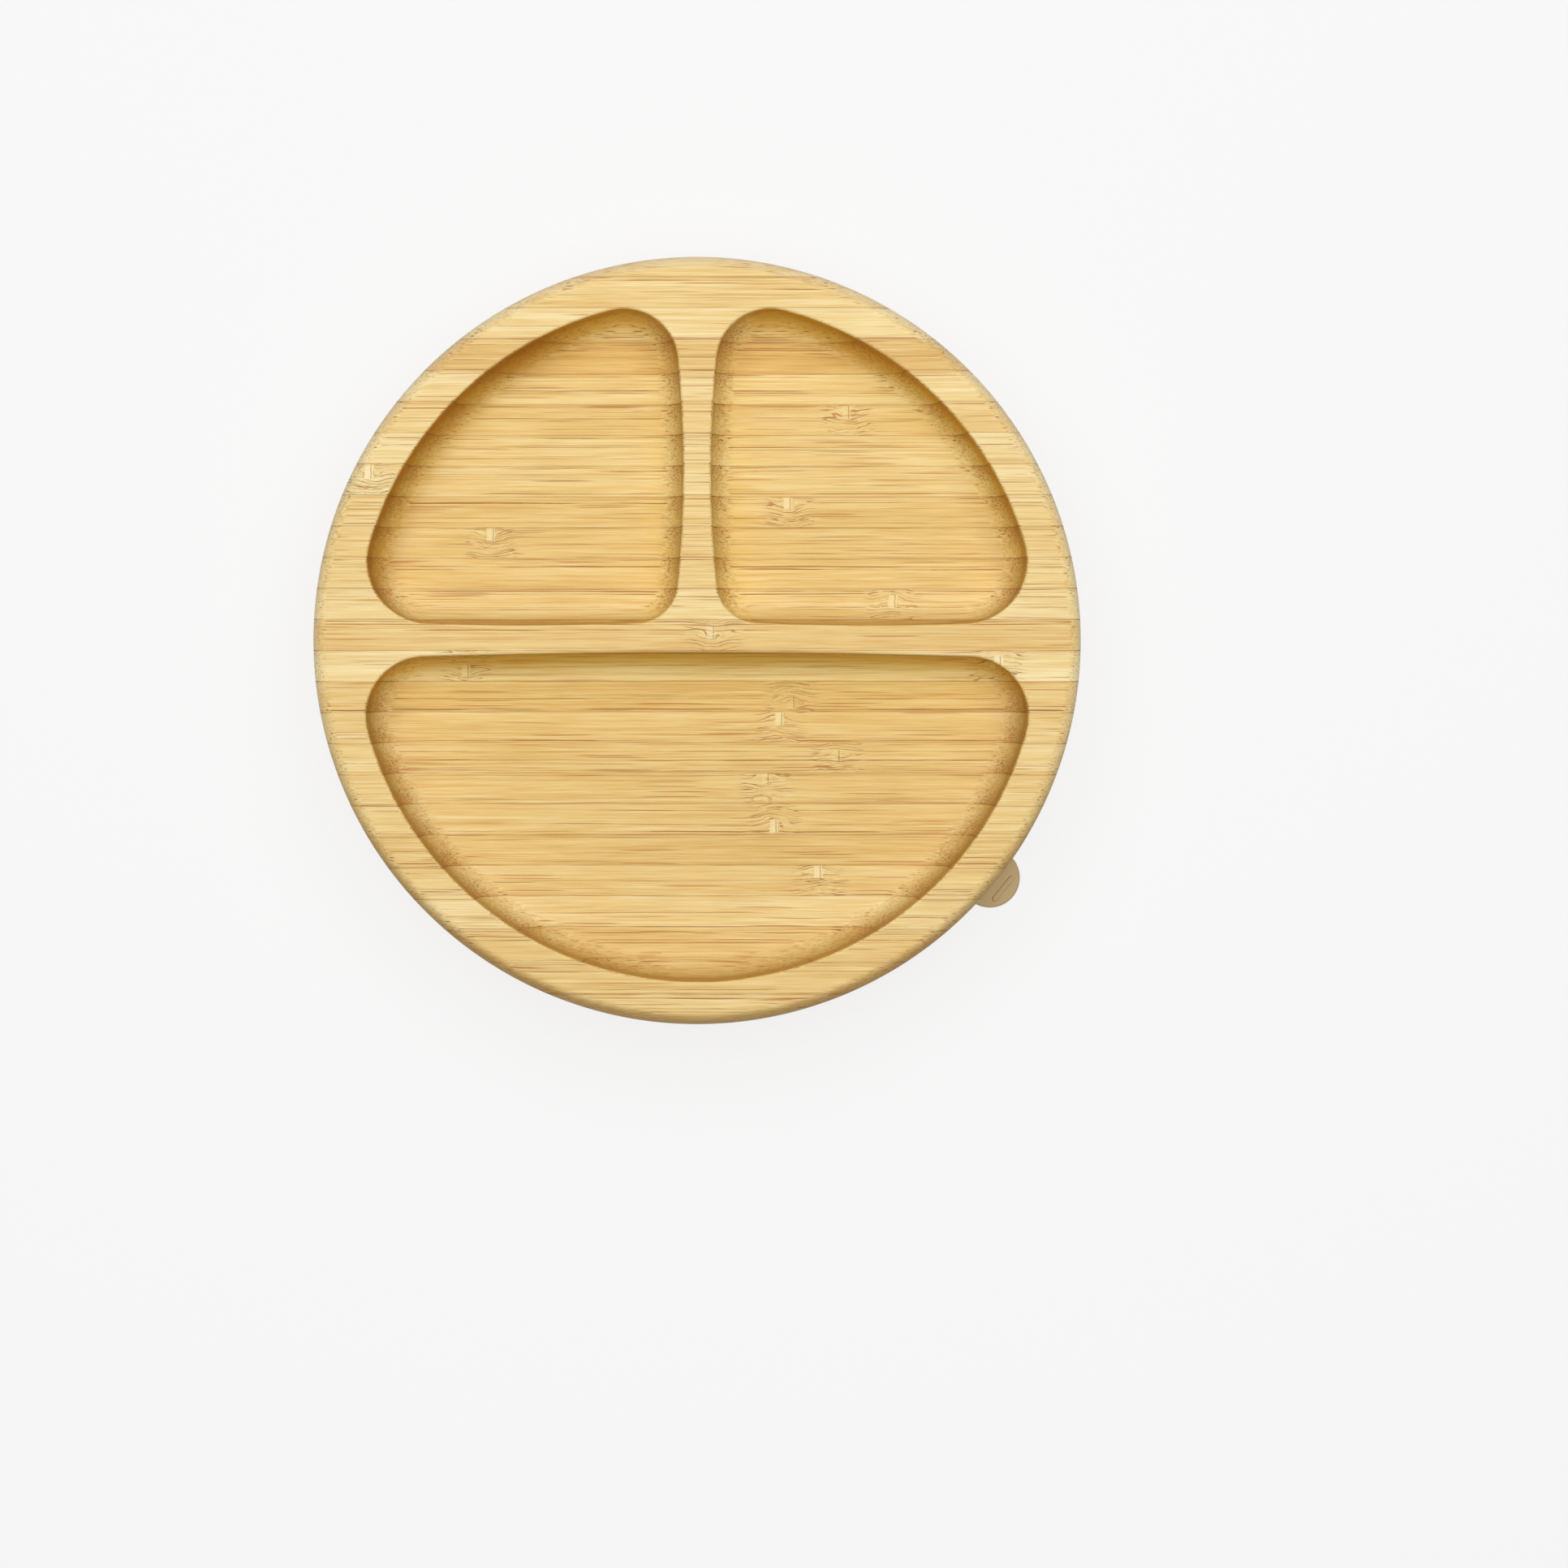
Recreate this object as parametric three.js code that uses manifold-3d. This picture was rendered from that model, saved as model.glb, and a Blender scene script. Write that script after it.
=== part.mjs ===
// Bamboo baby plate with three pockets and a silicone suction ring. Millimetres, +Z up, table at z = 0.
import * as THREE from 'three';
import { mergeVertices } from 'three/addons/utils/BufferGeometryUtils.js';
import Module from 'manifold-3d';

// Plate
const PLATE_DIAMETER = 180;
const PLATE_THICKNESS = 20;
const TOP_EDGE_RADIUS = 3.6;
const BOTTOM_EDGE_RADIUS = 4;
const STAVE_COUNT = 25;
const NEAR_STAVE_SHARE = 1.041;
const FAR_STAVE_SHARE = 0.684;

// Pockets
const RIM_WIDTH = 10.3;
const POCKET_DEPTH = 12;
const POCKET_COVE_RADIUS = 5.4;
const POCKET_EDGE_EASE = 0.7;
const CROSS_DIVIDER_WIDTH = 6.4;
const CROSS_DIVIDER_SHIFT = 0.4;
const MIDDLE_DIVIDER_WIDTH = 6.6;
const MIDDLE_EDGE_BOW = 260;
const UPPER_EDGE_BOW = 600;
const LOWER_EDGE_BOW = 2000;
const UPPER_OUTER_CORNER = 14.5;
const UPPER_TOP_CORNER = 12.6;
const UPPER_INNER_CORNER = 9.6;
const LOWER_CORNER = 13.8;

// Foot disc under the plate
const FOOT_DIAMETER = 93;
const FOOT_HEIGHT = 9.5;
const FOOT_LIFT = 3;
const FOOT_EDGE_RADIUS = 0.8;
const FOOT_FLANGE = 2.4;
const GROOVE_HEIGHT = 4.2;
const GROOVE_DEPTH = 2;

// Silicone ring
const SILICONE_FIT = 0.3;
const LIP_DIAMETER = 156;
const LIP_THICKNESS = 1.4;
const LIP_FLAT = 2;
const COLLAR_WALL = 4.6;
const COLLAR_EASE = 0.6;
const SKIRT_ROOT_HEIGHT = 5;
const CUP_RISE = 2.8;

// Pull tab
const TAB_ANGLE = -39;
const TAB_LENGTH = 18.6;
const TAB_ROOT_WIDTH = 16.5;
const TAB_END_WIDTH = 14.6;
const TAB_THICKNESS = 1.8;
const TAB_LIFT = 0.6;
const TAB_EASE = 0.35;
const TAB_LAND = 2;
const TAB_BAR_LENGTH = 7.8;
const TAB_BAR_RADIUS = 0.7;
const TAB_BAR_FROM_END = 3.2;

// Facets
const CHORD_ERROR = 0.1;
const ROUND_SEGMENTS = 64;
const FILLET_STEPS = 4;
const CURVE_STEPS = 6;
const BEAD_STEPS = 4;

// Sizes that follow from the ones above
const plateRadius = PLATE_DIAMETER / 2;
const stavePitch = PLATE_DIAMETER / (STAVE_COUNT - 2 + NEAR_STAVE_SHARE + FAR_STAVE_SHARE);
const undersideZ = FOOT_LIFT + FOOT_HEIGHT;
const topZ = undersideZ + PLATE_THICKNESS;
const floorZ = topZ - POCKET_DEPTH;
const pocketRadius = plateRadius - RIM_WIDTH;
const footRadius = FOOT_DIAMETER / 2;
const grooveZ = FOOT_LIFT + FOOT_FLANGE + GROOVE_HEIGHT / 2;
const lipRadius = LIP_DIAMETER / 2;
const boreRadius = footRadius + SILICONE_FIT;
const collarRadius = boreRadius + COLLAR_WALL;

const wasm = await Module();
wasm.setup();

// A closed mesh as a solid that can be joined and cut.
function solidOf(geometry) {
  const bare = geometry.clone();
  bare.deleteAttribute('normal');
  bare.deleteAttribute('uv');
  const merged = mergeVertices(bare, 1e-4);
  const index = merged.index.array;
  const corners = [];
  for (let i = 0; i < index.length; i += 3) {
    const [a, b, c] = [index[i], index[i + 1], index[i + 2]];
    if (a !== b && b !== c && c !== a) {
      corners.push(a, b, c);
    }
  }
  const mesh = new wasm.Mesh({
    numProp: 3,
    vertProperties: new Float32Array(merged.attributes.position.array),
    triVerts: new Uint32Array(corners),
  });
  return new wasm.Manifold(mesh);
}

// A joined or cut solid back as a geometry.
function geometryOf(solid) {
  const mesh = solid.getMesh();
  const geometry = new THREE.BufferGeometry();
  geometry.setAttribute('position', new THREE.BufferAttribute(new Float32Array(mesh.vertProperties), 3));
  geometry.setIndex(new THREE.BufferAttribute(new Uint32Array(mesh.triVerts), 1));
  geometry.computeVertexNormals();
  return geometry;
}

// Points of an arc around a centre, in degrees from one angle to another, both ends included.
function arc(x, y, radiusX, radiusY, from, to, steps) {
  const points = [];
  for (let i = 0; i <= steps; i += 1) {
    const angle = THREE.MathUtils.degToRad(from + ((to - from) * i) / steps);
    points.push(new THREE.Vector2(x + radiusX * Math.cos(angle), y + radiusY * Math.sin(angle)));
  }
  return points;
}

// A section of radius and height turned around the Z axis.
function turned(section) {
  const geometry = new THREE.LatheGeometry(section, ROUND_SEGMENTS);
  geometry.rotateX(Math.PI / 2);
  return geometry;
}

// The common area of discs, given counter-clockwise, with every corner between them rounded.
function roundedOutline(discs, cornerRadii) {
  const corners = discs.map((disc, i) => {
    const next = discs[(i + 1) % discs.length];
    const radius = cornerRadii[i];
    const near = disc.radius - radius;
    const far = next.radius - radius;
    const apart = next.centre.clone().sub(disc.centre);
    const along = (apart.lengthSq() + near * near - far * far) / (2 * apart.length());
    const across = Math.sqrt(near * near - along * along);
    const unit = apart.normalize();
    const centre = disc.centre.clone().addScaledVector(unit, along);
    centre.add(new THREE.Vector2(-unit.y, unit.x).multiplyScalar(across));
    return { centre, radius };
  });
  const direction = (from, to) => Math.atan2(to.y - from.y, to.x - from.x);
  const points = [];
  const addArc = (centre, radius, from, to) => {
    const sweep = THREE.MathUtils.euclideanModulo(to - from, 2 * Math.PI);
    const steps = Math.max(2, Math.ceil(sweep / (2 * Math.acos(1 - CHORD_ERROR / radius))));
    for (let i = 0; i < steps; i += 1) {
      const angle = from + (sweep * i) / steps;
      const normal = new THREE.Vector2(Math.cos(angle), Math.sin(angle));
      points.push({ at: centre.clone().addScaledVector(normal, radius), normal });
    }
  };
  discs.forEach((disc, i) => {
    const before = corners[(i + discs.length - 1) % discs.length];
    const after = corners[i];
    const next = discs[(i + 1) % discs.length];
    const turn = direction(disc.centre, after.centre);
    addArc(disc.centre, disc.radius, direction(disc.centre, before.centre), turn);
    addArc(after.centre, after.radius, turn, direction(next.centre, after.centre));
  });
  return points;
}

// The wall of a pocket from above the rim down to the floor: how far in from the outline, and how high.
function pocketWall() {
  const easeZ = topZ - POCKET_EDGE_EASE;
  const coveZ = floorZ + POCKET_COVE_RADIUS;
  const ease = arc(-POCKET_EDGE_EASE, easeZ, POCKET_EDGE_EASE, POCKET_EDGE_EASE, 90, 0, 3);
  const cove = arc(POCKET_COVE_RADIUS, coveZ, POCKET_COVE_RADIUS, POCKET_COVE_RADIUS, 180, 270, FILLET_STEPS);
  return [new THREE.Vector2(-POCKET_EDGE_EASE, topZ + 1), ...ease, ...cove];
}

// The space of a pocket: its outline drawn in along the wall, closed at the top and at the floor.
function pocketSpace(outline) {
  const wall = pocketWall();
  const count = outline.length;
  const positions = [];
  for (const level of wall) {
    for (const { at, normal } of outline) {
      positions.push(at.x - normal.x * level.x, at.y - normal.y * level.x, level.y);
    }
  }
  const middle = outline.reduce((sum, { at }) => sum.add(at), new THREE.Vector2()).divideScalar(count);
  const lastRow = (wall.length - 1) * count;
  const topMiddle = wall.length * count;
  positions.push(middle.x, middle.y, wall[0].y, middle.x, middle.y, floorZ);
  const faces = [];
  for (let i = 0; i < count; i += 1) {
    const next = (i + 1) % count;
    faces.push(topMiddle, i, next, topMiddle + 1, lastRow + next, lastRow + i);
    for (let row = 0; row < lastRow; row += count) {
      faces.push(row + i, row + count + i, row + count + next, row + i, row + count + next, row + next);
    }
  }
  const geometry = new THREE.BufferGeometry();
  geometry.setAttribute('position', new THREE.BufferAttribute(new Float32Array(positions), 3));
  geometry.setIndex(faces);
  return solidOf(geometry);
}

// The three pockets: one each side of the middle divider, and one across the near half.
function pocketSpaces() {
  const disc = (x, y, radius) => ({ centre: new THREE.Vector2(x, y), radius });
  const outer = disc(0, 0, pocketRadius);
  const upperEdge = CROSS_DIVIDER_SHIFT + CROSS_DIVIDER_WIDTH / 2;
  const lowerEdge = CROSS_DIVIDER_SHIFT - CROSS_DIVIDER_WIDTH / 2;
  const half = MIDDLE_DIVIDER_WIDTH / 2;
  const reach = pocketRadius / 2;
  const right = roundedOutline(
    [outer, disc(half + MIDDLE_EDGE_BOW, reach, MIDDLE_EDGE_BOW), disc(reach, upperEdge + UPPER_EDGE_BOW, UPPER_EDGE_BOW)],
    [UPPER_TOP_CORNER, UPPER_INNER_CORNER, UPPER_OUTER_CORNER],
  );
  const left = roundedOutline(
    [outer, disc(-reach, upperEdge + UPPER_EDGE_BOW, UPPER_EDGE_BOW), disc(-half - MIDDLE_EDGE_BOW, reach, MIDDLE_EDGE_BOW)],
    [UPPER_OUTER_CORNER, UPPER_INNER_CORNER, UPPER_TOP_CORNER],
  );
  const lower = roundedOutline(
    [outer, disc(0, lowerEdge - LOWER_EDGE_BOW, LOWER_EDGE_BOW)],
    [LOWER_CORNER, LOWER_CORNER],
  );
  return [right, left, lower].map(pocketSpace);
}

// The turned and carved board, before it is cut back into the staves it is glued from.
function carvedBoard() {
  const blank = turned([
    new THREE.Vector2(0, undersideZ),
    ...arc(
      plateRadius - BOTTOM_EDGE_RADIUS, undersideZ + BOTTOM_EDGE_RADIUS,
      BOTTOM_EDGE_RADIUS, BOTTOM_EDGE_RADIUS, -90, 0, FILLET_STEPS,
    ),
    ...arc(
      plateRadius - TOP_EDGE_RADIUS, topZ - TOP_EDGE_RADIUS,
      TOP_EDGE_RADIUS, TOP_EDGE_RADIUS, 0, 90, FILLET_STEPS,
    ),
    new THREE.Vector2(0, topZ),
  ]);
  return pocketSpaces().reduce((board, space) => board.subtract(space), solidOf(blank));
}

// A slab across the whole plate between two glue lines.
function slab(fromY, toY) {
  const geometry = new THREE.BoxGeometry(2, 2, 2);
  const position = geometry.attributes.position;
  for (let i = 0; i < position.count; i += 1) {
    const y = position.getY(i) < 0 ? fromY : toY;
    position.setXYZ(i, position.getX(i) * PLATE_DIAMETER, y, topZ * (position.getZ(i) + 0.5));
  }
  return solidOf(geometry);
}

// The staves from the near edge to the far edge.
function staveSolids() {
  const board = carvedBoard();
  const edges = [-plateRadius - 1];
  for (let i = 0; i < STAVE_COUNT - 1; i += 1) {
    edges.push((i + NEAR_STAVE_SHARE) * stavePitch - plateRadius);
  }
  edges.push(plateRadius + 1);
  return edges.slice(1).map((edge, i) => board.intersect(slab(edges[i], edge)));
}

// The foot disc, with a groove around its edge for the ring's bead.
function footGeometry() {
  return turned([
    new THREE.Vector2(0, FOOT_LIFT),
    ...arc(
      footRadius - FOOT_EDGE_RADIUS, FOOT_LIFT + FOOT_EDGE_RADIUS,
      FOOT_EDGE_RADIUS, FOOT_EDGE_RADIUS, -90, 0, 3,
    ),
    ...arc(footRadius, grooveZ, GROOVE_DEPTH, GROOVE_HEIGHT / 2, 270, 90, BEAD_STEPS),
    new THREE.Vector2(footRadius, undersideZ),
    new THREE.Vector2(0, undersideZ),
  ]);
}

// The ring's section: cup, lip, skirt, collar and the bead that sits in the groove.
function ringSection() {
  const collarTop = undersideZ - SILICONE_FIT;
  const skirtZ = collarTop - SKIRT_ROOT_HEIGHT + COLLAR_EASE;
  const lipInner = lipRadius - LIP_FLAT;
  const width = lipInner - boreRadius;
  const cup = new THREE.CubicBezierCurve(
    new THREE.Vector2(boreRadius + COLLAR_EASE, FOOT_LIFT),
    new THREE.Vector2(boreRadius + 0.38 * width, FOOT_LIFT + CUP_RISE),
    new THREE.Vector2(lipInner - 0.33 * width, FOOT_LIFT + 0.6 * CUP_RISE),
    new THREE.Vector2(lipInner, 0),
  );
  const skirt = new THREE.CubicBezierCurve(
    new THREE.Vector2(lipRadius, LIP_THICKNESS),
    new THREE.Vector2(lipRadius - 0.35 * width, LIP_THICKNESS + 0.8 * (skirtZ - LIP_THICKNESS)),
    new THREE.Vector2(collarRadius + 0.3 * width, skirtZ),
    new THREE.Vector2(collarRadius + COLLAR_EASE, skirtZ),
  );
  return [
    new THREE.Vector2(boreRadius, FOOT_LIFT + COLLAR_EASE),
    ...cup.getPoints(CURVE_STEPS),
    ...arc(lipRadius - LIP_THICKNESS / 2, LIP_THICKNESS / 2, LIP_THICKNESS / 2, LIP_THICKNESS / 2, -90, 30, 2),
    ...skirt.getPoints(CURVE_STEPS),
    ...arc(collarRadius + COLLAR_EASE, skirtZ + COLLAR_EASE, COLLAR_EASE, COLLAR_EASE, 270, 180, 2).slice(1),
    ...arc(collarRadius - COLLAR_EASE, collarTop - COLLAR_EASE, COLLAR_EASE, COLLAR_EASE, 0, 90, 2),
    new THREE.Vector2(boreRadius, collarTop),
    ...arc(boreRadius, grooveZ, GROOVE_DEPTH, GROOVE_HEIGHT / 2 - SILICONE_FIT, 90, 270, BEAD_STEPS),
  ];
}

// A flat plate of the tab's thickness with eased edges, at the tab's height.
function tabSheet(points) {
  const shape = new THREE.Shape(points);
  const geometry = new THREE.ExtrudeGeometry(shape, {
    depth: TAB_THICKNESS - 2 * TAB_EASE,
    bevelEnabled: true,
    bevelThickness: TAB_EASE,
    bevelSize: TAB_EASE,
    bevelOffset: -TAB_EASE,
    bevelSegments: 2,
    curveSegments: 1,
  });
  geometry.translate(0, 0, TAB_LIFT + TAB_EASE);
  return geometry;
}

// The ring with the land that the tab grows from, along +X.
function ringSolid() {
  const section = ringSection();
  section.push(section[0].clone());
  const half = TAB_ROOT_WIDTH / 2;
  const from = lipRadius - LIP_FLAT;
  const to = lipRadius + TAB_LAND;
  const land = tabSheet([
    new THREE.Vector2(from, -half),
    new THREE.Vector2(to, -half),
    new THREE.Vector2(to, half),
    new THREE.Vector2(from, half),
  ]);
  return solidOf(turned(section)).add(solidOf(land));
}

// The tab with its grip bar, along +X.
function tabSolid() {
  const root = lipRadius + TAB_LAND + SILICONE_FIT;
  const end = root + TAB_LENGTH;
  const half = TAB_ROOT_WIDTH / 2;
  const endHalf = TAB_END_WIDTH / 2;
  const sheet = tabSheet([
    new THREE.Vector2(root, -half),
    ...arc(end - endHalf, 0, endHalf, endHalf, -90, 90, 14),
    new THREE.Vector2(root, half),
  ]);
  const bar = new THREE.CapsuleGeometry(TAB_BAR_RADIUS, TAB_BAR_LENGTH - 2 * TAB_BAR_RADIUS, 3, 10);
  bar.translate(end - TAB_BAR_FROM_END, 0, TAB_LIFT + TAB_THICKNESS);
  return solidOf(sheet).add(solidOf(bar));
}

const part = new THREE.Group();
part.name = 'baby_suction_plate';

function addPiece(group, name, geometry, color, roughness) {
  const material = new THREE.MeshStandardMaterial({ color, roughness, metalness: 0 });
  material.name = name;
  const mesh = new THREE.Mesh(geometry, material);
  mesh.name = name;
  group.add(mesh);
}

const STAVE_COLORS = [0xe8c88e, 0xefd18b, 0xe4be7c, 0xecc983, 0xe1bb78];
staveSolids().forEach((solid, i) => {
  const name = `bamboo_stave_${String(i + 1).padStart(2, '0')}`;
  addPiece(part, name, geometryOf(solid), STAVE_COLORS[(i * 3) % STAVE_COLORS.length], 0.55);
});
addPiece(part, 'foot_disc', geometryOf(solidOf(footGeometry())), 0xc2934a, 0.6);

const silicone = new THREE.Group();
silicone.name = 'silicone';
silicone.rotation.z = THREE.MathUtils.degToRad(TAB_ANGLE);
part.add(silicone);
addPiece(silicone, 'suction_ring', geometryOf(ringSolid()), 0xcbaf80, 0.7);
addPiece(silicone, 'pull_tab', geometryOf(tabSolid()), 0xcbaf80, 0.7);

export default part;
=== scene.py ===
"""Looks of a bamboo baby plate with three carved pockets on a silicone suction ring.

One carved shell is cut at the glue lines into the plate's staves. A Geometry Nodes tree turns the
foot and the suction ring about the plate's axis. Every finish is a solid pattern on Object
coordinates, so a bundle of fibres that runs as a line along a flat face ends as a dot where the
carving cuts across it. Sizes are in millimetres until a mesh is made.
"""

import logging
import math
from dataclasses import dataclass, field
from enum import Enum
from typing import Any, Iterable, Optional, Sequence, Union

import bmesh
import bpy
import numpy as np
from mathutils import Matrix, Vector, geometry


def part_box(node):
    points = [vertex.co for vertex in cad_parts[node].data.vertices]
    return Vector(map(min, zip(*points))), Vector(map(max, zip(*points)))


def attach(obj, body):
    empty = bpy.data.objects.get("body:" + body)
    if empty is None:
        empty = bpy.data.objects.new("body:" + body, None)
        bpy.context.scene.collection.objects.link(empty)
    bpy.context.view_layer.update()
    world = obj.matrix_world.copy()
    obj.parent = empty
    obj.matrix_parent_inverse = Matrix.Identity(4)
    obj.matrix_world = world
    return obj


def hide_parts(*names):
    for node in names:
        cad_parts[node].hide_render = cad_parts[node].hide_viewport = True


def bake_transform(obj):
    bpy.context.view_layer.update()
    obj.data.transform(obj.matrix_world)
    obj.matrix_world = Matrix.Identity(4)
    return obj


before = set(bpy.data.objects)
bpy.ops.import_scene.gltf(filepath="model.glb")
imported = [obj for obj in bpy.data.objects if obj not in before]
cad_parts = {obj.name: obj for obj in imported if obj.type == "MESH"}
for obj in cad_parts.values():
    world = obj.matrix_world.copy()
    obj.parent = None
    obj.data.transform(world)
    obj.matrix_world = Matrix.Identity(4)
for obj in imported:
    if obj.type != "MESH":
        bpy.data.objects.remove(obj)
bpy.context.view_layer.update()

MM = 0.001
WELD = 0.0005 * MM
SHARP_ANGLE = 35.0
IMAGE_SIZE = 1932
KNUCKLE_NAMES = ("knuckle_first", "knuckle_second")
SEED_STEP = 1.37
LOG = logging.getLogger("baby_plate")

Point2 = tuple[float, float]
Point3 = tuple[float, float, float]
Colour = tuple[float, float, float]
Scalar = Union["Wire", float]


class Tone(Enum):
    """How light the wood of a stave is."""

    CREAM = 1.0
    PALE = 0.6
    STRAW = 0.0
    HONEY = -0.55
    AMBER = -1.0


class Skin(Enum):
    """Which glue face of a stave was nearest the skin of the bamboo stem."""

    FAR = 1.0
    NEAR = -1.0


class Wire:
    """An output socket of a shader, which joins others through Python's operators."""

    def __init__(self, board: "ShaderBoard", socket: bpy.types.NodeSocket) -> None:
        """Keeps the board that the socket is on."""
        self.board = board
        self.socket = socket

    def math(self, operation: str, *others: Scalar) -> "Wire":
        """Adds a Math node whose first value is this one."""
        return self.board.add("ShaderNodeMath", {"operation": operation}, [self, *others])

    def output(self, name: str) -> "Wire":
        """Another output of the same node."""
        return Wire(self.board, self.socket.node.outputs[name])

    def __add__(self, other: Scalar) -> "Wire":
        """This value plus another."""
        return self.math("ADD", other)

    def __sub__(self, other: Scalar) -> "Wire":
        """This value less another."""
        return self.math("SUBTRACT", other)

    def __rsub__(self, other: Scalar) -> "Wire":
        """Another value less this one."""
        return self.board.add("ShaderNodeMath", {"operation": "SUBTRACT"}, [other, self])

    def __mul__(self, other: Scalar) -> "Wire":
        """This value times another."""
        return self.math("MULTIPLY", other)

    def __truediv__(self, other: Scalar) -> "Wire":
        """This value divided by another."""
        return self.math("DIVIDE", other)

    def __abs__(self) -> "Wire":
        """This value without its sign."""
        return self.math("ABSOLUTE")

    def least(self, other: Scalar) -> "Wire":
        """The lesser of this value and another."""
        return self.math("MINIMUM", other)

    def most(self, other: Scalar) -> "Wire":
        """The greater of this value and another."""
        return self.math("MAXIMUM", other)

    def smooth(self, start: Scalar, end: Scalar) -> "Wire":
        """Rises smoothly from 0 at start to 1 at end, which may be the lesser of the two."""
        return self.board.add(
            "ShaderNodeMapRange",
            {"interpolation_type": "SMOOTHSTEP"},
            {"Value": self, "From Min": start, "From Max": end},
        )


class ShaderBoard:
    """The node tree of one material or world, filled node by node."""

    def __init__(self, tree: bpy.types.NodeTree) -> None:
        """Starts from an empty tree."""
        self.tree = tree
        tree.nodes.clear()

    def add(
        self,
        kind: str,
        settings: Optional[dict[str, Any]] = None,
        inputs: Union[dict[Any, Any], Sequence[Any], None] = None,
        output: Union[int, str] = 0,
    ) -> Wire:
        """Adds one node.

        Args:
            kind: The node's type.
            settings: The node's own properties, which are set first.
            inputs: Values or wires, by socket name or identifier, or in the order of the sockets.
            output: The output socket that is returned.

        Returns:
            The wire of that output.
        """
        node = self.tree.nodes.new(kind)
        for name, value in (settings or {}).items():
            setattr(node, name, value)
        pairs = inputs.items() if isinstance(inputs, dict) else enumerate(inputs or [])
        for key, value in pairs:
            socket = self._find(node.inputs, key)
            if isinstance(value, Wire):
                self.tree.links.new(value.socket, socket)
            else:
                socket.default_value = value
        return Wire(self, self._find(node.outputs, output)) if node.outputs else Wire(self, None)

    @staticmethod
    def _find(sockets: Any, key: Union[int, str]) -> bpy.types.NodeSocket:
        """Finds a socket by its place, its identifier or its name."""
        if isinstance(key, int):
            return sockets[key]
        found = [socket for socket in sockets if socket.identifier == key]
        return found[0] if found else sockets[key]

    def millimetres(self) -> tuple[Wire, Wire, Wire]:
        """The three Object coordinates of the shaded point, in millimetres."""
        place = self.add("ShaderNodeTexCoord", output="Object")
        split = self.add("ShaderNodeSeparateXYZ", None, [place])
        return tuple(split.output(axis) * (1 / MM) for axis in "XYZ")

    def attribute(self, name: str) -> Wire:
        """A number that is kept on the mesh."""
        settings = {"attribute_type": "GEOMETRY", "attribute_name": name}
        return self.add("ShaderNodeAttribute", settings, output="Fac")

    def place(self, x: Scalar, y: Scalar, z: Scalar) -> Wire:
        """A vector from three values."""
        return self.add("ShaderNodeCombineXYZ", None, [x, y, z])

    def noise(self, x: Scalar, y: Scalar, z: Scalar, detail: float = 1.0) -> Wire:
        """Soft noise between about -1 and 1.

        Args:
            x: Place along X, in noise cells.
            y: Place along Y, in noise cells.
            z: Place along Z, in noise cells.
            detail: How many finer layers are added.

        Returns:
            The noise.
        """
        inputs = {"Vector": self.place(x, y, z), "Scale": 1.0, "Detail": detail}
        return self.add("ShaderNodeTexNoise", None, inputs) * 2.0 - 1.0

    def cells(self, x: Scalar, y: Scalar) -> tuple[Wire, Wire, Wire]:
        """Scattered points in a plane, one to a cell of unit size.

        Args:
            x: First place in the plane, in cells.
            y: Second place in the plane, in cells.

        Returns:
            The distance to the nearest point, and two random numbers of that point.
        """
        settings = {"feature": "F1", "voronoi_dimensions": "2D"}
        inputs = {"Vector": self.place(x, y, 0.0), "Scale": 1.0}
        reach = self.add("ShaderNodeTexVoronoi", settings, inputs)
        dice = self.add("ShaderNodeSeparateColor", None, [reach.output("Color")])
        return reach, dice.output("Red"), dice.output("Green")

    def mix(self, share: Scalar, first: Any, second: Any) -> Wire:
        """A colour between two others."""
        ends = {"Factor_Float": share, "A_Color": paint(first), "B_Color": paint(second)}
        return self.add("ShaderNodeMix", {"data_type": "RGBA"}, ends, "Result_Color")

    def tint(self, share: Scalar, first: Any, second: Any) -> Wire:
        """The first colour, multiplied by the second as far as the share says."""
        settings = {"data_type": "RGBA", "blend_type": "MULTIPLY"}
        ends = {"Factor_Float": share, "A_Color": paint(first), "B_Color": paint(second)}
        return self.add("ShaderNodeMix", settings, ends, "Result_Color")

    def relief(self, height: Wire, depth: float) -> Wire:
        """A normal that follows a height from 0 to 1, which stands for depth millimetres."""
        inputs = {"Height": height, "Distance": depth * MM}
        return self.add("ShaderNodeBump", None, inputs, "Normal")

    def skin(self, inputs: dict[str, Any]) -> None:
        """Ends the tree in one Principled surface.

        Args:
            inputs: The surface's values or wires, by socket name.
        """
        surface_wire = self.add("ShaderNodeBsdfPrincipled", None, inputs)
        self.add("ShaderNodeOutputMaterial", None, {"Surface": surface_wire})


def paint(colour: Any) -> Any:
    """A colour with its alpha added, or a wire as it is."""
    return (*colour, 1.0) if isinstance(colour, tuple) else colour


def surface(name: str) -> tuple[bpy.types.Material, ShaderBoard]:
    """A new material and the board of its nodes."""
    material = bpy.data.materials.new(name)
    material.use_nodes = True
    return material, ShaderBoard(material.node_tree)


@dataclass
class Grain:
    """Where a shaded point of a stave lies in the wood, and how the surface cuts the wood there."""

    x: Wire
    y: Wire
    z: Wire
    seed: Wire
    skin: Wire
    across: Wire
    rind: Wire
    knuckle: Wire
    block: Wire
    pale: Wire
    swirl: Wire
    curl: Wire
    bent: Wire
    rank: Wire
    level: Wire
    end_cut: Wire
    facing: Wire
    inner: Wire


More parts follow.
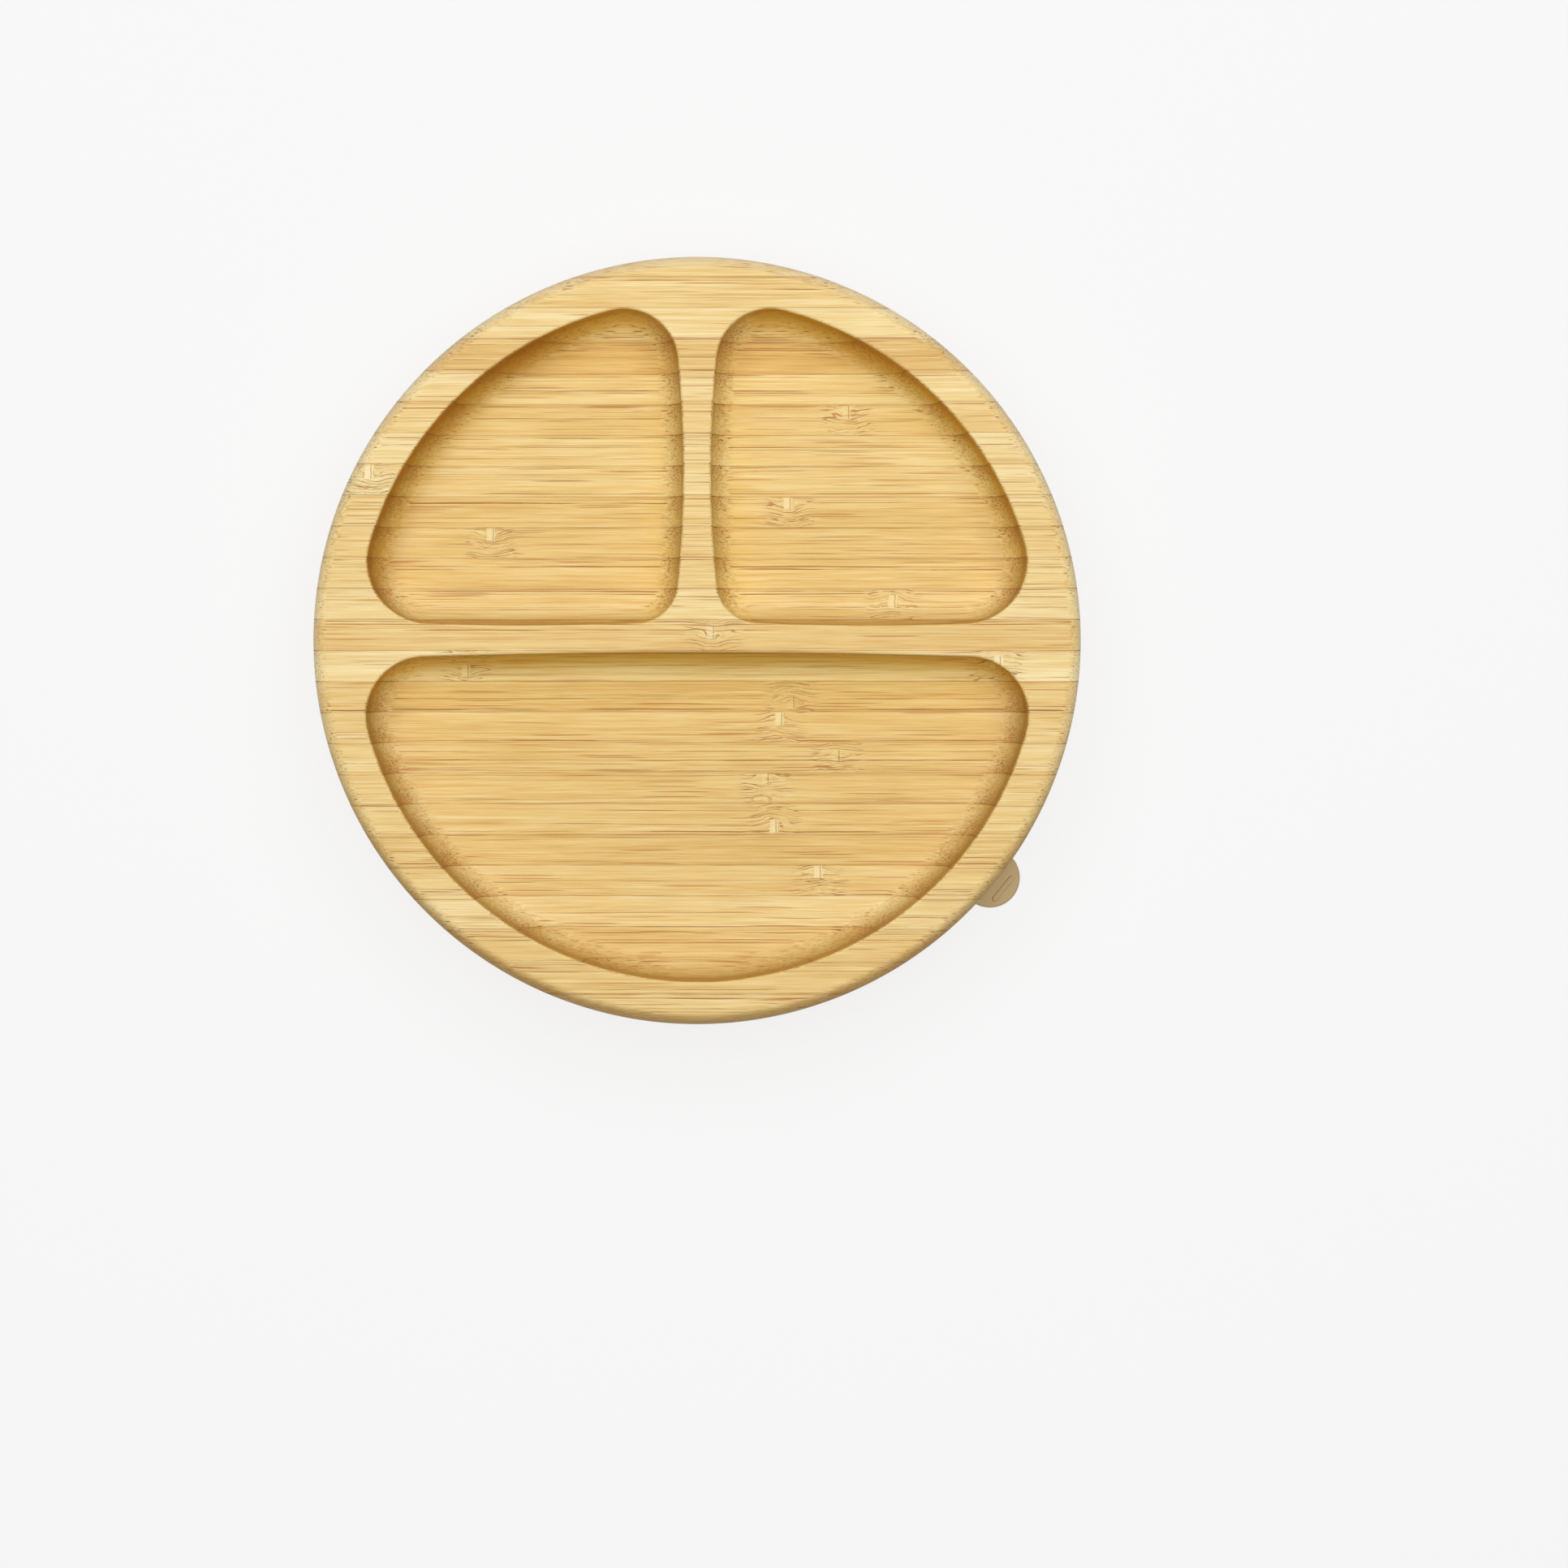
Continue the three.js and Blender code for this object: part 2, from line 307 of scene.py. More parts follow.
@dataclass(frozen=True)
class BambooFinish:
    """Side-pressed bamboo: fibre bundles along X, thicker and closer near each stave's skin face.

    A pair of numbers is where a zone starts and where it is in full, in millimetres, or in square
    millimetres for the square of a distance from the plate's axis.
    """

    pitch: float
    top: float
    bowl: float
    cross: Point2
    middle: float
    straw: Colour = (0.825, 0.592, 0.240)
    cream: Colour = (0.925, 0.765, 0.415)
    honey: Colour = (0.690, 0.420, 0.128)
    # Painted highlight beside the dark fibre lines, and the colour of the knuckles' pale blocks.
    painted_highlight_and_pale_block: Colour = (0.940, 0.790, 0.440)
    bundle: Colour = (0.420, 0.180, 0.034)
    rust: Colour = (0.500, 0.185, 0.050)
    stain: Colour = (0.600, 0.310, 0.090)
    glue: Colour = (0.340, 0.155, 0.030)
    end_cut: Colour = (0.95, 1.0, 0.96)
    # Painted shade in the pockets, where the walls block light: lighter near the far walls and the
    # near side, deepest on walls that face away from the light.
    painted_floor_shade: Colour = (0.94, 0.895, 0.77)
    painted_nook_shade: Colour = (0.94, 0.945, 0.98)
    painted_far_floor_shade: Colour = (1.00, 0.96, 0.74)
    painted_wall_shade: Colour = (0.765, 0.66, 0.41)
    painted_near_floor_shade: Colour = (0.97, 0.97, 0.95)
    painted_far_wall_shade: Colour = (0.88, 0.65, 0.10)
    painted_left_shade_wall: Colour = (0.81, 0.71, 0.50)
    # Painted shade on the outer edge, by which way it faces the light, and a painted pale sheen
    # there.
    painted_near_edge_shade: Colour = (0.66, 0.58, 0.49)
    painted_far_edge_shade: Colour = (0.89, 0.89, 0.93)
    edge_painted_sheen: Colour = (0.80, 0.78, 0.74)
    # Painted shade on the underside.
    painted_underside_shade: Colour = (0.82, 0.71, 0.55)
    inner_squares: Point2 = (7300.0, 6950.0)
    # Zone of the painted shade and sheen on the outer edge.
    painted_edge_zone: Point2 = (85.5, 87.0)
    # Zone of the painted shade on the underside.
    painted_underside_zone: Point2 = (18.0, 13.0)
    glue_zone: Point2 = (0.17, 0.05)
    glue_ends: Point2 = (88.0, 86.5)
    knuckle_reach: float = 9.5
    block_half: float = 1.1
    # How far the painted highlight lies across from each fibre bundle.
    painted_highlight_step: float = 0.26
    dash_length: float = 44.0

    def material(self) -> bpy.types.Material:
        """Builds the finish.

        Returns:
            The material, which reads each stave's numbers from its mesh.
        """
        material, board = surface("side_pressed_bamboo")
        grain = self._grain(board)
        lines, painted_highlight, rusty = self._bundles(board, grain)
        ripples, painted_gleam = self._ripples(board, grain)
        block, strokes = self._knuckle(board, grain)
        lines = lines.most(ripples) * (1.0 - block * 0.85)
        painted_highlight = painted_highlight.most(painted_gleam)
        light, fibre = self._light(board, grain)
        edge = grain.across.least(1.0 - grain.across) * self.pitch
        patch = board.noise(grain.x / 9.0, grain.seed * 9.0, grain.z / 4.0)
        glue_line = (patch * 0.55 + 0.42 + grain.end_cut * 0.5).most(0.0)
        glue_line = edge.smooth(*self.glue_zone) * glue_line
        glue_line = glue_line * abs(grain.y).smooth(*self.glue_ends)

        colour = board.mix(light.most(0.0).least(1.0), self.straw, self.cream)
        colour = board.mix((light * -1.0).most(0.0).least(1.0), colour, self.honey)
        colour = board.mix(self._stain(board, grain), colour, self.stain)
        # Painted highlight beside each fibre line, as if light caught the edge of a groove.
        colour = board.mix(painted_highlight * 0.72, colour, self.painted_highlight_and_pale_block)
        colour = board.mix(block * 0.85, colour, self.painted_highlight_and_pale_block)
        colour = board.tint(grain.end_cut * 0.9, colour, self.end_cut)
        rind_end = grain.end_cut.smooth(0.02, 0.35) * grain.rind.smooth(0.3, 1.0) * grain.inner
        colour = board.mix(rind_end * 0.32, colour, self.stain)
        # Painted light and shade, by where the pockets, the outer edge and the underside lie.
        colour = self._painted_light_and_shade(board, grain, colour)
        ink = board.mix(rusty, self.bundle, self.rust)
        colour = board.mix(lines.least(0.92), colour, ink)
        colour = board.mix(strokes.most(glue_line), colour, self.glue)

        height = fibre * 0.10 - lines * 0.5 + painted_highlight * 0.2 - glue_line * 0.35 - strokes * 0.5
        height = height + grain.swirl * grain.curl * 0.35 + block * 0.3
        board.skin(
            {
                "Base Color": colour,
                "Roughness": lines * 0.10 + fibre * 0.04 + 0.56,
                "Normal": board.relief(height, 0.15),
                "Specular IOR Level": 0.22,
            }
        )
        return material

    def _painted_light_and_shade(self, board: ShaderBoard, grain: Grain, colour: Wire) -> Wire:
        """Paints light and shade into the wood's colour, by where the surface lies.

        Args:
            board: The material's board.
            grain: The point's place in the wood.
            colour: The wood's colour before the painted light and shade.

        Returns:
            The colour with painted shade on the pockets' floors and walls, painted shade and sheen
            on the outer edge, and painted shade underneath.
        """
        radius = (grain.x * grain.x + grain.y * grain.y).math("SQRT")
        beyond = grain.y.math("GREATER_THAN", 0.0)
        arc = (self.bowl * self.bowl - grain.x * grain.x).most(0.0).math("SQRT")
        to_far = (self.cross[0] - grain.y) * (1.0 - beyond) + (arc - grain.y) * beyond
        to_cross = (grain.y - self.cross[1]) * beyond + (self.cross[0] - grain.y) * (1.0 - beyond)
        to_middle = abs(grain.x) - self.middle + (1.0 - beyond) * 200.0
        nook = (self.bowl - radius).least(to_cross).least(to_middle).smooth(14.0, 3.0)
        far = to_far.smooth(17.0, 4.0)
        divider = to_middle.smooth(12.0, 5.0)
        carved = (self.top - grain.z).smooth(0.0, 0.8) * radius.math("LESS_THAN", self.bowl + 1.3)
        steep = board.attribute("steep")
        near_side = (grain.facing * -1.0).most(0.0)
        shade = near_side.smooth(0.1, 0.7)

        # Painted shade on the pocket floors, lighter near the far walls, the divider and the near
        # side.
        floor = board.mix(far.most(divider * 0.7), self.painted_floor_shade, self.painted_far_floor_shade)
        floor = board.mix(grain.y.smooth(-25.0, -60.0) * 0.5, floor, self.painted_near_floor_shade)
        # Painted shade on the walls, deeper and more golden on walls that face away from the light.
        wall = board.mix(shade, self.painted_wall_shade, self.painted_far_wall_shade)
        colour = board.tint(carved, colour, floor)
        # Painted shade in the pockets' corners.
        colour = board.tint(carved * nook * (1.0 - far.most(divider)), colour, self.painted_nook_shade)
        # Less painted shade on the divider's walls, much less on its right-hand side.
        lit = divider * (grain.x.math("GREATER_THAN", 0.0) * 0.55 + 0.35)
        colour = board.tint(carved * steep.most(shade * 0.65) * (1.0 - lit), colour, wall)
        # Painted shade on the left pocket's outer arc wall.
        painted_left_shade = (self.bowl - radius).smooth(8.0, 2.0) * grain.x.smooth(-15.0, -45.0) * beyond
        colour = board.tint(carved * painted_left_shade, colour, self.painted_left_shade_wall)
        # Painted shade on the outer edge where it faces away from the light, and a slight cool
        # painted shade where it faces the light.
        edge = radius.smooth(*self.painted_edge_zone)
        colour = board.tint(edge * near_side.smooth(0.1, 0.6), colour, self.painted_near_edge_shade)
        colour = board.tint(edge * grain.facing.smooth(0.05, 0.5), colour, self.painted_far_edge_shade)
        # Painted sheen: a pale grey on the steep outer edge, standing in for a reflection of the
        # white surroundings.
        painted_sheen = edge * steep.smooth(0.0, 0.4) * near_side.smooth(0.4, 0.0) * 0.17
        colour = board.mix(painted_sheen, colour, self.edge_painted_sheen)
        # Painted shade on the underside.
        return board.tint(grain.z.smooth(*self.painted_underside_zone), colour, self.painted_underside_shade)

    def _grain(self, board: ShaderBoard) -> Grain:
        """Finds where the shaded point lies in its stave.

        Args:
            board: The material's board.

        Returns:
            The point's place along, across and through the fibres, bent where a knuckle is near.
        """
        x, y, z = board.millimetres()
        seed = board.attribute("stave_seed")
        skin = board.attribute("stave_skin")
        across = (y - board.attribute("stave_near")) / self.pitch
        knuckle, block, bend, pale = self._nearest_knuckle(board, x)
        reach = abs(knuckle)
        swirl = reach.smooth(self.knuckle_reach, 0.8)
        curl = board.noise(x / 3.6, y / 1.4, z / 1.4 + seed * 3.0)
        twist = board.noise(x / 3.0, y / 1.1 + 31.0, z / 1.1 + seed * 3.0)
        sway = board.noise(x / 45.0, y / 6.0 + seed * 5.0, z / 6.0)
        lift = board.noise(x / 55.0, y * 0.9 + seed * 5.0, z * 0.9)
        wave = board.noise(x / 10.0, y / 1.5 + seed * 5.0, z / 1.5)
        arch = reach.smooth(5.5, 0.2) * bend * 0.10
        side = ((across - block) * 9.0).math("TANH") * abs(across - block).smooth(0.6, 0.05)
        arch = arch + reach.smooth(5.0, 0.3) * side * 0.075
        arch = arch + swirl * curl * 0.07 + sway * 0.03 + wave * 0.014
        rind = (across - 0.5) * skin + 0.5
        bent = (across - arch - 0.5) * skin + 0.5
        rank = (bent * 0.5 + 0.6) * bent * self.pitch + seed * 3.1
        level = z * 1.15 + lift * 0.42 + swirl * twist * 0.55 + seed * 1.7
        bent = bent * self.pitch
        inner = (x * x + y * y).smooth(*self.inner_squares)
        place = (x, y, z, seed, skin, across, rind, knuckle, block, pale)
        fibres = (swirl, curl, bent, rank, level)
        return Grain(*place, *fibres, board.attribute("end_cut"), board.attribute("facing"), inner)

    @staticmethod
    def _nearest_knuckle(board: ShaderBoard, x: Wire) -> tuple[Wire, Wire, Wire, Wire]:
        """Picks the nearer of a stave's two knuckles.

        Args:
            board: The material's board.
            x: Place along the fibres, in millimetres.

        Returns:
            The way from the knuckle along X, the place of its block, its bend and how pale it is.
        """
        kept = []
        for name in KNUCKLE_NAMES:
            settings = {"attribute_type": "GEOMETRY", "attribute_name": name}
            packed = board.add("ShaderNodeAttribute", settings, output="Color")
            parts = board.add("ShaderNodeSeparateColor", None, [packed])
            red, green, blue = (parts.output(part) for part in ("Red", "Green", "Blue"))
            kept.append((x - red, green, blue, packed.output("Alpha")))
        first, second = kept
        nearer = abs(first[0]).math("LESS_THAN", abs(second[0]))
        return tuple(a * nearer + b * (1.0 - nearer) for a, b in zip(first, second))

    def _bundles(self, board: ShaderBoard, grain: Grain) -> tuple[Wire, Wire, Wire]:
        """Draws the fibre bundles.

        Args:
            board: The material's board.
            grain: The point's place in the wood.

        Returns:
            How dark a bundle is, how strong the painted highlight beside it is, and how red it is.
        """
        ragged = board.noise(grain.x / 3.0, grain.rank * 2.5, grain.level * 2.5) * 0.06
        fade = board.noise(grain.x / 15.0, grain.rank * 1.4 + 5.0, grain.level * 1.4)
        fade = fade.smooth(-0.3, 0.3)
        radius = grain.rind.smooth(0.15, 1.0) * 0.09 + 0.16 + ragged
        depth = grain.rind.smooth(0.1, 0.95) * 0.90 + 0.50
        far, strength, hue = board.cells(grain.rank, grain.level)
        thick = far.smooth(radius, radius * 0.5) * (strength * 0.9 + 0.25) * depth
        thick = thick * (fade * 0.75 + 0.25)
        # Painted highlight: the same bundles, moved a little across, lighten one side of each dark
        # line.
        step = grain.skin * (grain.rind + 0.6) * self.painted_highlight_step
        beside, painted_gleam, _ = board.cells(grain.rank + step, grain.level)
        painted_highlight = beside.smooth(radius, radius * 0.5) * (painted_gleam * 0.8 + 0.18)
        painted_highlight = painted_highlight * (grain.swirl * 0.7 + 0.55) * (1.0 - grain.end_cut)
        near, chance, _ = board.cells(grain.rank * 2.3 + 17.0, grain.level * 2.1)
        thin = near.smooth(0.30, 0.12) * chance.smooth(0.3, 1.0) * (fade * 0.55 + 0.25)
        pore, open_end, _ = board.cells(grain.rank * 1.5 + 3.0, grain.level * 1.35)
        pores = pore.smooth(0.36, 0.20) * (open_end * 0.5 + 0.38) * grain.end_cut.smooth(0.02, 0.30)
        pores = pores * (grain.rind.smooth(0.0, 0.85) * 0.75 + 0.25) * (grain.inner * 0.85 + 0.15)
        rows = grain.rank * 1.2 + grain.level * 0.9
        dash, weight, _ = board.cells(grain.x / self.dash_length + grain.seed, rows)
        dashes = dash.smooth(0.21, 0.12) * weight.smooth(0.58, 0.9) * (grain.rind * 0.45 + 0.42)
        level_cut = abs(grain.facing).smooth(0.20, 0.05) * grain.end_cut.smooth(0.15, 0.02)
        dashes = dashes * level_cut
        red = hue.smooth(0.35, 0.9).most(dashes.smooth(0.05, 0.3))
        return thick.most(thin).most(pores).most(dashes), painted_highlight, red

    @staticmethod
    def _ripples(board: ShaderBoard, grain: Grain) -> tuple[Wire, Wire]:
        """Draws the wavy fibres round a knuckle.

        Args:
            board: The material's board.
            grain: The point's place in the wood.

        Returns:
            How dark the wavy lines are, and how strong the painted highlight beside them is.
        """
        zone = grain.swirl.smooth(0.06, 0.6)
        gap = board.noise(grain.x / 5.0, grain.bent / 1.3, grain.seed * 4.0).smooth(-0.45, 0.25)
        found = []
        for step in (0.0, 0.22):
            rank = (grain.bent + grain.skin * step) * 1.3
            band = board.noise(grain.x / 9.0, rank, grain.z / 2.5 + grain.seed * 3.0, 0.0)
            found.append(abs(band).smooth(0.10, 0.02) * zone * gap)
        # The second set of lines, moved a little across, is a painted highlight.
        return found[0] * 0.90, found[1]

    def _knuckle(self, board: ShaderBoard, grain: Grain) -> tuple[Wire, Wire]:
        """Draws the pale block in a knuckle.

        Args:
            board: The material's board.
            grain: The point's place in the wood.

        Returns:
            Where the block is, and how dark the thin strokes that stand across it are.
        """
        wobble = grain.curl * 0.35
        reach = abs(grain.knuckle + wobble)
        height = abs(grain.across - grain.block + grain.curl * 0.06)
        inside = height.smooth(0.24, 0.17)
        block = reach.smooth(self.block_half + 0.25, self.block_half - 0.25) * inside * grain.pale
        stroke = abs(grain.knuckle - 0.45 + wobble * 0.5).smooth(0.16, 0.06) * inside
        other = abs(grain.knuckle - 1.0 + wobble * 0.5).smooth(0.15, 0.06) * inside
        broken = board.noise(grain.x / 1.6, grain.y / 1.4, grain.seed * 2.0).smooth(-0.3, 0.4)
        return block, stroke.most(other * broken) * 0.60

    @staticmethod
    def _light(board: ShaderBoard, grain: Grain) -> tuple[Wire, Wire]:
        """Varies the wood between honey and cream.

        Args:
            board: The material's board.
            grain: The point's place in the wood.

        Returns:
            How light the wood is, from -1 to 1, and the fine fibres alone.
        """
        streak = board.noise(grain.x / 48.0, grain.rank * 1.1, grain.level * 1.1, 2.0)
        fibre = board.noise(grain.x / 22.0, grain.rank * 2.6, grain.level * 2.6, 2.0)
        hair = board.noise(grain.x / 9.0, grain.rank * 6.0, grain.level * 6.0)
        cloud = board.noise(grain.x / 26.0, grain.y / 3.0 + grain.seed * 2.0, grain.z / 5.0)
        tone = board.attribute("stave_tone")
        fine = (fibre * 0.95 + hair * 1.00) * (grain.rind * 0.6 + 0.65)
        return streak * 0.72 + fine + cloud * 0.50 + tone * 0.52, fibre

    @staticmethod
    def _stain(board: ShaderBoard, grain: Grain) -> Wire:
        """How far the brown of the stem's skin reaches into a stave from its skin face."""
        patch = board.noise(grain.x / 48.0, grain.seed * 6.0, grain.z / 6.0).smooth(-0.3, 0.5)
        return grain.rind.smooth(0.84, 1.0) * patch * 0.45


@dataclass(frozen=True)
class PressedFinish:
    """Flat-pressed bamboo of the foot: long fine streaks along X, with one toothed node across."""

    straw: Colour = (0.550, 0.330, 0.080)
    pale: Colour = (0.735, 0.555, 0.215)
    dark: Colour = (0.380, 0.170, 0.030)
    tooth: Colour = (0.850, 0.690, 0.360)
    node_x: float = -0.5
    node_y: float = 17.0
    node_half: float = 22.0
    node_lean: float = -0.20
    grain_lean: float = 0.03

    def material(self) -> bpy.types.Material:
        """Builds the finish.

        Returns:
            The material.
        """
        material, board = surface("flat_pressed_bamboo")
        x, y, z = board.millimetres()
        reach = x - self.node_x - (y - self.node_y) * self.node_lean
        within = abs(y - self.node_y).smooth(self.node_half, self.node_half - 3.0)
        curl = board.noise(x / 3.0, y / 1.5, z / 3.0)
        waves = board.noise(x / 14.0, y / 3.5, z / 3.0)
        band = abs(reach + curl * 4.0 + waves * 3.0).smooth(7.0, 1.5) * within
        stir = abs(reach).smooth(18.0, 2.0) * within
        rank = y + x * self.grain_lean + stir * (curl * 0.4 + waves * 1.2)

        broad = board.noise(x / 60.0, rank / 3.2, z / 3.0, 2.0)
        fibre = board.noise(x / 34.0, rank * 1.7, z * 1.7, 2.0)
        hair = board.noise(x / 13.0, rank * 4.6, z * 4.6)
        light = broad * 1.25 + fibre * 1.25 + hair * 0.75
        colour = board.mix((light + 0.5).most(0.0).least(1.0), self.straw, self.pale)
        far, strength, _ = board.cells(x / 42.0, rank * 1.7)
        streaks = far.smooth(0.36, 0.10) * strength.smooth(0.3, 1.0)
        near, chance, _ = board.cells(x / 12.0, rank * 3.1)
        flecks = near.smooth(0.34, 0.10) * chance.smooth(0.45, 1.0)
        lenses = stir * waves.smooth(0.10, 0.55) * 0.45
        ink = (streaks * 0.80).most(flecks * 0.65).most(lenses) * (1.0 - band * 0.6)
        colour = board.mix(ink, colour, self.dark)

        gap, lit, _ = board.cells(reach * 0.80, y * 0.38)
        teeth = gap.smooth(0.50, 0.34) * lit.smooth(0.05, 0.4) * band
        # Painted shade beside each tooth: the teeth moved a little across and darkened, as if each
        # tooth stood up from the face.
        shade, _, _ = board.cells(reach * 0.80 + 0.42, y * 0.38)
        tooth_shade = shade.smooth(0.52, 0.30) * (1.0 - teeth) * band
        colour = board.mix(tooth_shade * 0.65, colour, self.dark)
        colour = board.mix(teeth * 0.75, colour, self.tooth)

        height = fibre * 0.12 - ink * 0.5 + teeth * 0.3 - tooth_shade * 0.3
        board.skin(
            {
                "Base Color": colour,
                "Roughness": hair * 0.05 + 0.52,
                "Normal": board.relief(height, 0.16),
                "Specular IOR Level": 0.30,
            }
        )
        return material


@dataclass(frozen=True)
class SiliconeFinish:
    """Soft matte food-grade silicone with a fine moulded skin and dust bloom, and painted light
    that makes it paler inside the cup than on the tab.
    """

    beige: Colour = (0.605, 0.425, 0.198)
    # Paler colour of the dust bloom, and of the painted light inside the cup.
    bloom_and_painted_light: Colour = (0.640, 0.530, 0.312)
    cup_squares: Point2 = (6300.0, 5700.0)

    def material(self) -> bpy.types.Material:
        """Builds the finish.

        Returns:
            The material.
        """
        material, board = surface("beige_silicone")
        x, y, z = board.millimetres()
        cloud = board.noise(x / 14.0, y / 14.0, z / 8.0, 2.0)
        dust = board.noise(x * 1.4, y * 1.4, z * 1.4, 2.0)
        skin_grain = board.noise(x * 4.0, y * 4.0, z * 4.0)
        # Painted light: the cup is paler than the tab, as if lit more.
        cup = (x * x + y * y).smooth(*self.cup_squares)
        dust_and_painted_light = (cloud * 0.6 + dust * 0.3).smooth(-0.9, 0.9) * (cup * 0.4 + 0.6) + cup * 0.2
        colour = board.mix(dust_and_painted_light.least(1.0), self.beige, self.bloom_and_painted_light)
        board.skin(
            {
                "Base Color": colour,
                "Roughness": cloud * 0.04 + dust * 0.03 + 0.62,
                "Normal": board.relief(skin_grain * 0.5 + dust * 0.3, 0.02),
                "Specular IOR Level": 0.32,
                "Sheen Weight": 0.12,
                "Sheen Roughness": 0.5,
            }
        )
        return material


@dataclass(frozen=True)
class Knuckle:
    """A knuckle of the bamboo stem in a stave.

    It has a place along X in millimetres, the place of its pale block across the stave from the
    near face at 0 to the far face at 1, how far the fibres bend to the far side there, and how pale
    it is.
    """

    x: float
    block: float = 0.5
    bend: float = 0.0
    pale: float = 1.0

    @property
    def numbers(self) -> tuple[float, float, float, float]:
        """What the finish reads from the mesh."""
        return self.x, self.block, self.bend, self.pale


NO_KNUCKLE = Knuckle(900.0, pale=0.0)


@dataclass(frozen=True)
class StaveLook:
    """What tells one stave from the next: its tone, its skin face and its knuckles."""

    number: int
    tone: Tone = Tone.STRAW
    skin: Skin = Skin.FAR
    knuckles: tuple[Knuckle, ...] = ()

    @property
    def node(self) -> str:
        """The name of the stave's solid."""
        return f"bamboo_stave_{self.number:02d}"

    @property
    def near(self) -> float:
        """Where the stave's near face is along Y, in millimetres."""
        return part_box(self.node)[0].y / MM

    @property
    def far(self) -> float:
        """Where the stave's far face is along Y, in millimetres."""
        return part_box(self.node)[1].y / MM


STAVE_LOOKS = (
    StaveLook(1),
    StaveLook(2, Tone.HONEY),
    StaveLook(3, Tone.HONEY),
    StaveLook(4, Tone.PALE, Skin.NEAR),
    StaveLook(5, Tone.STRAW, Skin.NEAR, (Knuckle(28.8, 0.78, 0.7),)),
    StaveLook(6, Tone.HONEY, Skin.NEAR),
    StaveLook(7, Tone.STRAW, Skin.NEAR, (Knuckle(18.3, 0.25, 1.0),)),
    StaveLook(8, Tone.STRAW, Skin.NEAR, (Knuckle(16.4, 0.80, 0.4, 0.4),)),
    StaveLook(9, Tone.STRAW, Skin.NEAR, (Knuckle(33.2, 0.55, 0.3, 0.3),)),
    StaveLook(10, Tone.STRAW, Skin.NEAR, (Knuckle(19.6, 0.76, 1.0),)),
    StaveLook(11, Tone.HONEY, Skin.NEAR, (Knuckle(22.5, 0.30, 1.1, 0.2),)),
    StaveLook(12, Tone.CREAM, Skin.FAR, (Knuckle(70.3, 0.60, 0.5), Knuckle(-54.7, 0.35, -0.8))),
    StaveLook(13, Tone.HONEY, Skin.FAR, (Knuckle(3.4, 0.55, -0.9, 0.5),)),
    StaveLook(14, Tone.PALE, Skin.FAR, (Knuckle(46.5, 0.60, 0.8),)),
    StaveLook(15),
    StaveLook(16, Tone.STRAW, Skin.FAR, (Knuckle(-48.8, 0.78, -1.0),)),
    StaveLook(17, Tone.STRAW, Skin.FAR, (Knuckle(21.7, 0.78, -1.0),)),
    StaveLook(18, Tone.PALE, Skin.FAR, (Knuckle(-76.6, 0.72, -0.9),)),
    StaveLook(19, Tone.PALE),
    StaveLook(20, Tone.STRAW, Skin.FAR, (Knuckle(35.5, 0.75, -0.4, 0.4),)),
    StaveLook(21, Tone.PALE),
    StaveLook(22, Tone.AMBER),
    StaveLook(23, Tone.PALE, Skin.NEAR),
    StaveLook(24),
    StaveLook(25),
)


@dataclass(frozen=True)
class Disc:
    """A disc on the plate's top, by its centre and radius."""

    x: float
    y: float
    radius: float

    def towards(self, x: float, y: float) -> float:
        """The angle from the disc's centre to a point."""
        return math.atan2(y - self.y, x - self.x)

    def arc(self, start: float, end: float, spacing: float) -> list[tuple[Point2, Point2]]:
        """Points of the disc's edge from one angle round to another.

        Args:
            start: First angle, in radians.
            end: Last angle, which is left out, because the next arc starts there.
            spacing: Greatest distance between points, in millimetres.

        Returns:
            Pairs of a point and the outward direction there.
        """
        sweep = (end - start) % (2 * math.pi)
        steps = max(2, math.ceil(sweep * self.radius / spacing))
        found = []
        for step in range(steps):
            angle = start + sweep * step / steps
            way = (math.cos(angle), math.sin(angle))
            found.append(((self.x + self.radius * way[0], self.y + self.radius * way[1]), way))
        return found

    def corner(self, other: "Disc", radius: float) -> "Disc":
        """The fillet inside two discs, on the left of the way from this one to the other.

        Args:
            other: The disc whose edge comes next.
            radius: The fillet's radius.

        Returns:
            The fillet's own disc.
        """
        here, there = self.radius - radius, other.radius - radius
        span = math.hypot(other.x - self.x, other.y - self.y)
        along = (span**2 + here**2 - there**2) / (2 * span)
        side = math.sqrt(here**2 - along**2)
        way = ((other.x - self.x) / span, (other.y - self.y) / span)
        return Disc(
            self.x + along * way[0] - side * way[1], self.y + along * way[1] + side * way[0], radius
        )


@dataclass(frozen=True)
class Pocket:
    """The mouth of a food pocket: the overlap of discs, with a fillet where two edges meet."""

    discs: tuple[Disc, ...]
    corners: tuple[float, ...]

    def outline(self, spacing: float) -> tuple[np.ndarray, np.ndarray]:
        """Traces the mouth anticlockwise.

        Args:
            spacing: Greatest distance between points, in millimetres.

        Returns:
            The points and their outward directions.
        """
        following = (*self.discs[1:], self.discs[0])
        fillets = [Disc.corner(*trio) for trio in zip(self.discs, following, self.corners)]
        trace: list[tuple[Point2, Point2]] = []
        for k, disc in enumerate(self.discs):
            before, after = fillets[k - 1], fillets[k]
            turn = disc.towards(after.x, after.y)
            trace += disc.arc(disc.towards(before.x, before.y), turn, spacing)
            trace += after.arc(turn, following[k].towards(after.x, after.y), spacing)
        return np.array([point for point, _ in trace]), np.array([way for _, way in trace])


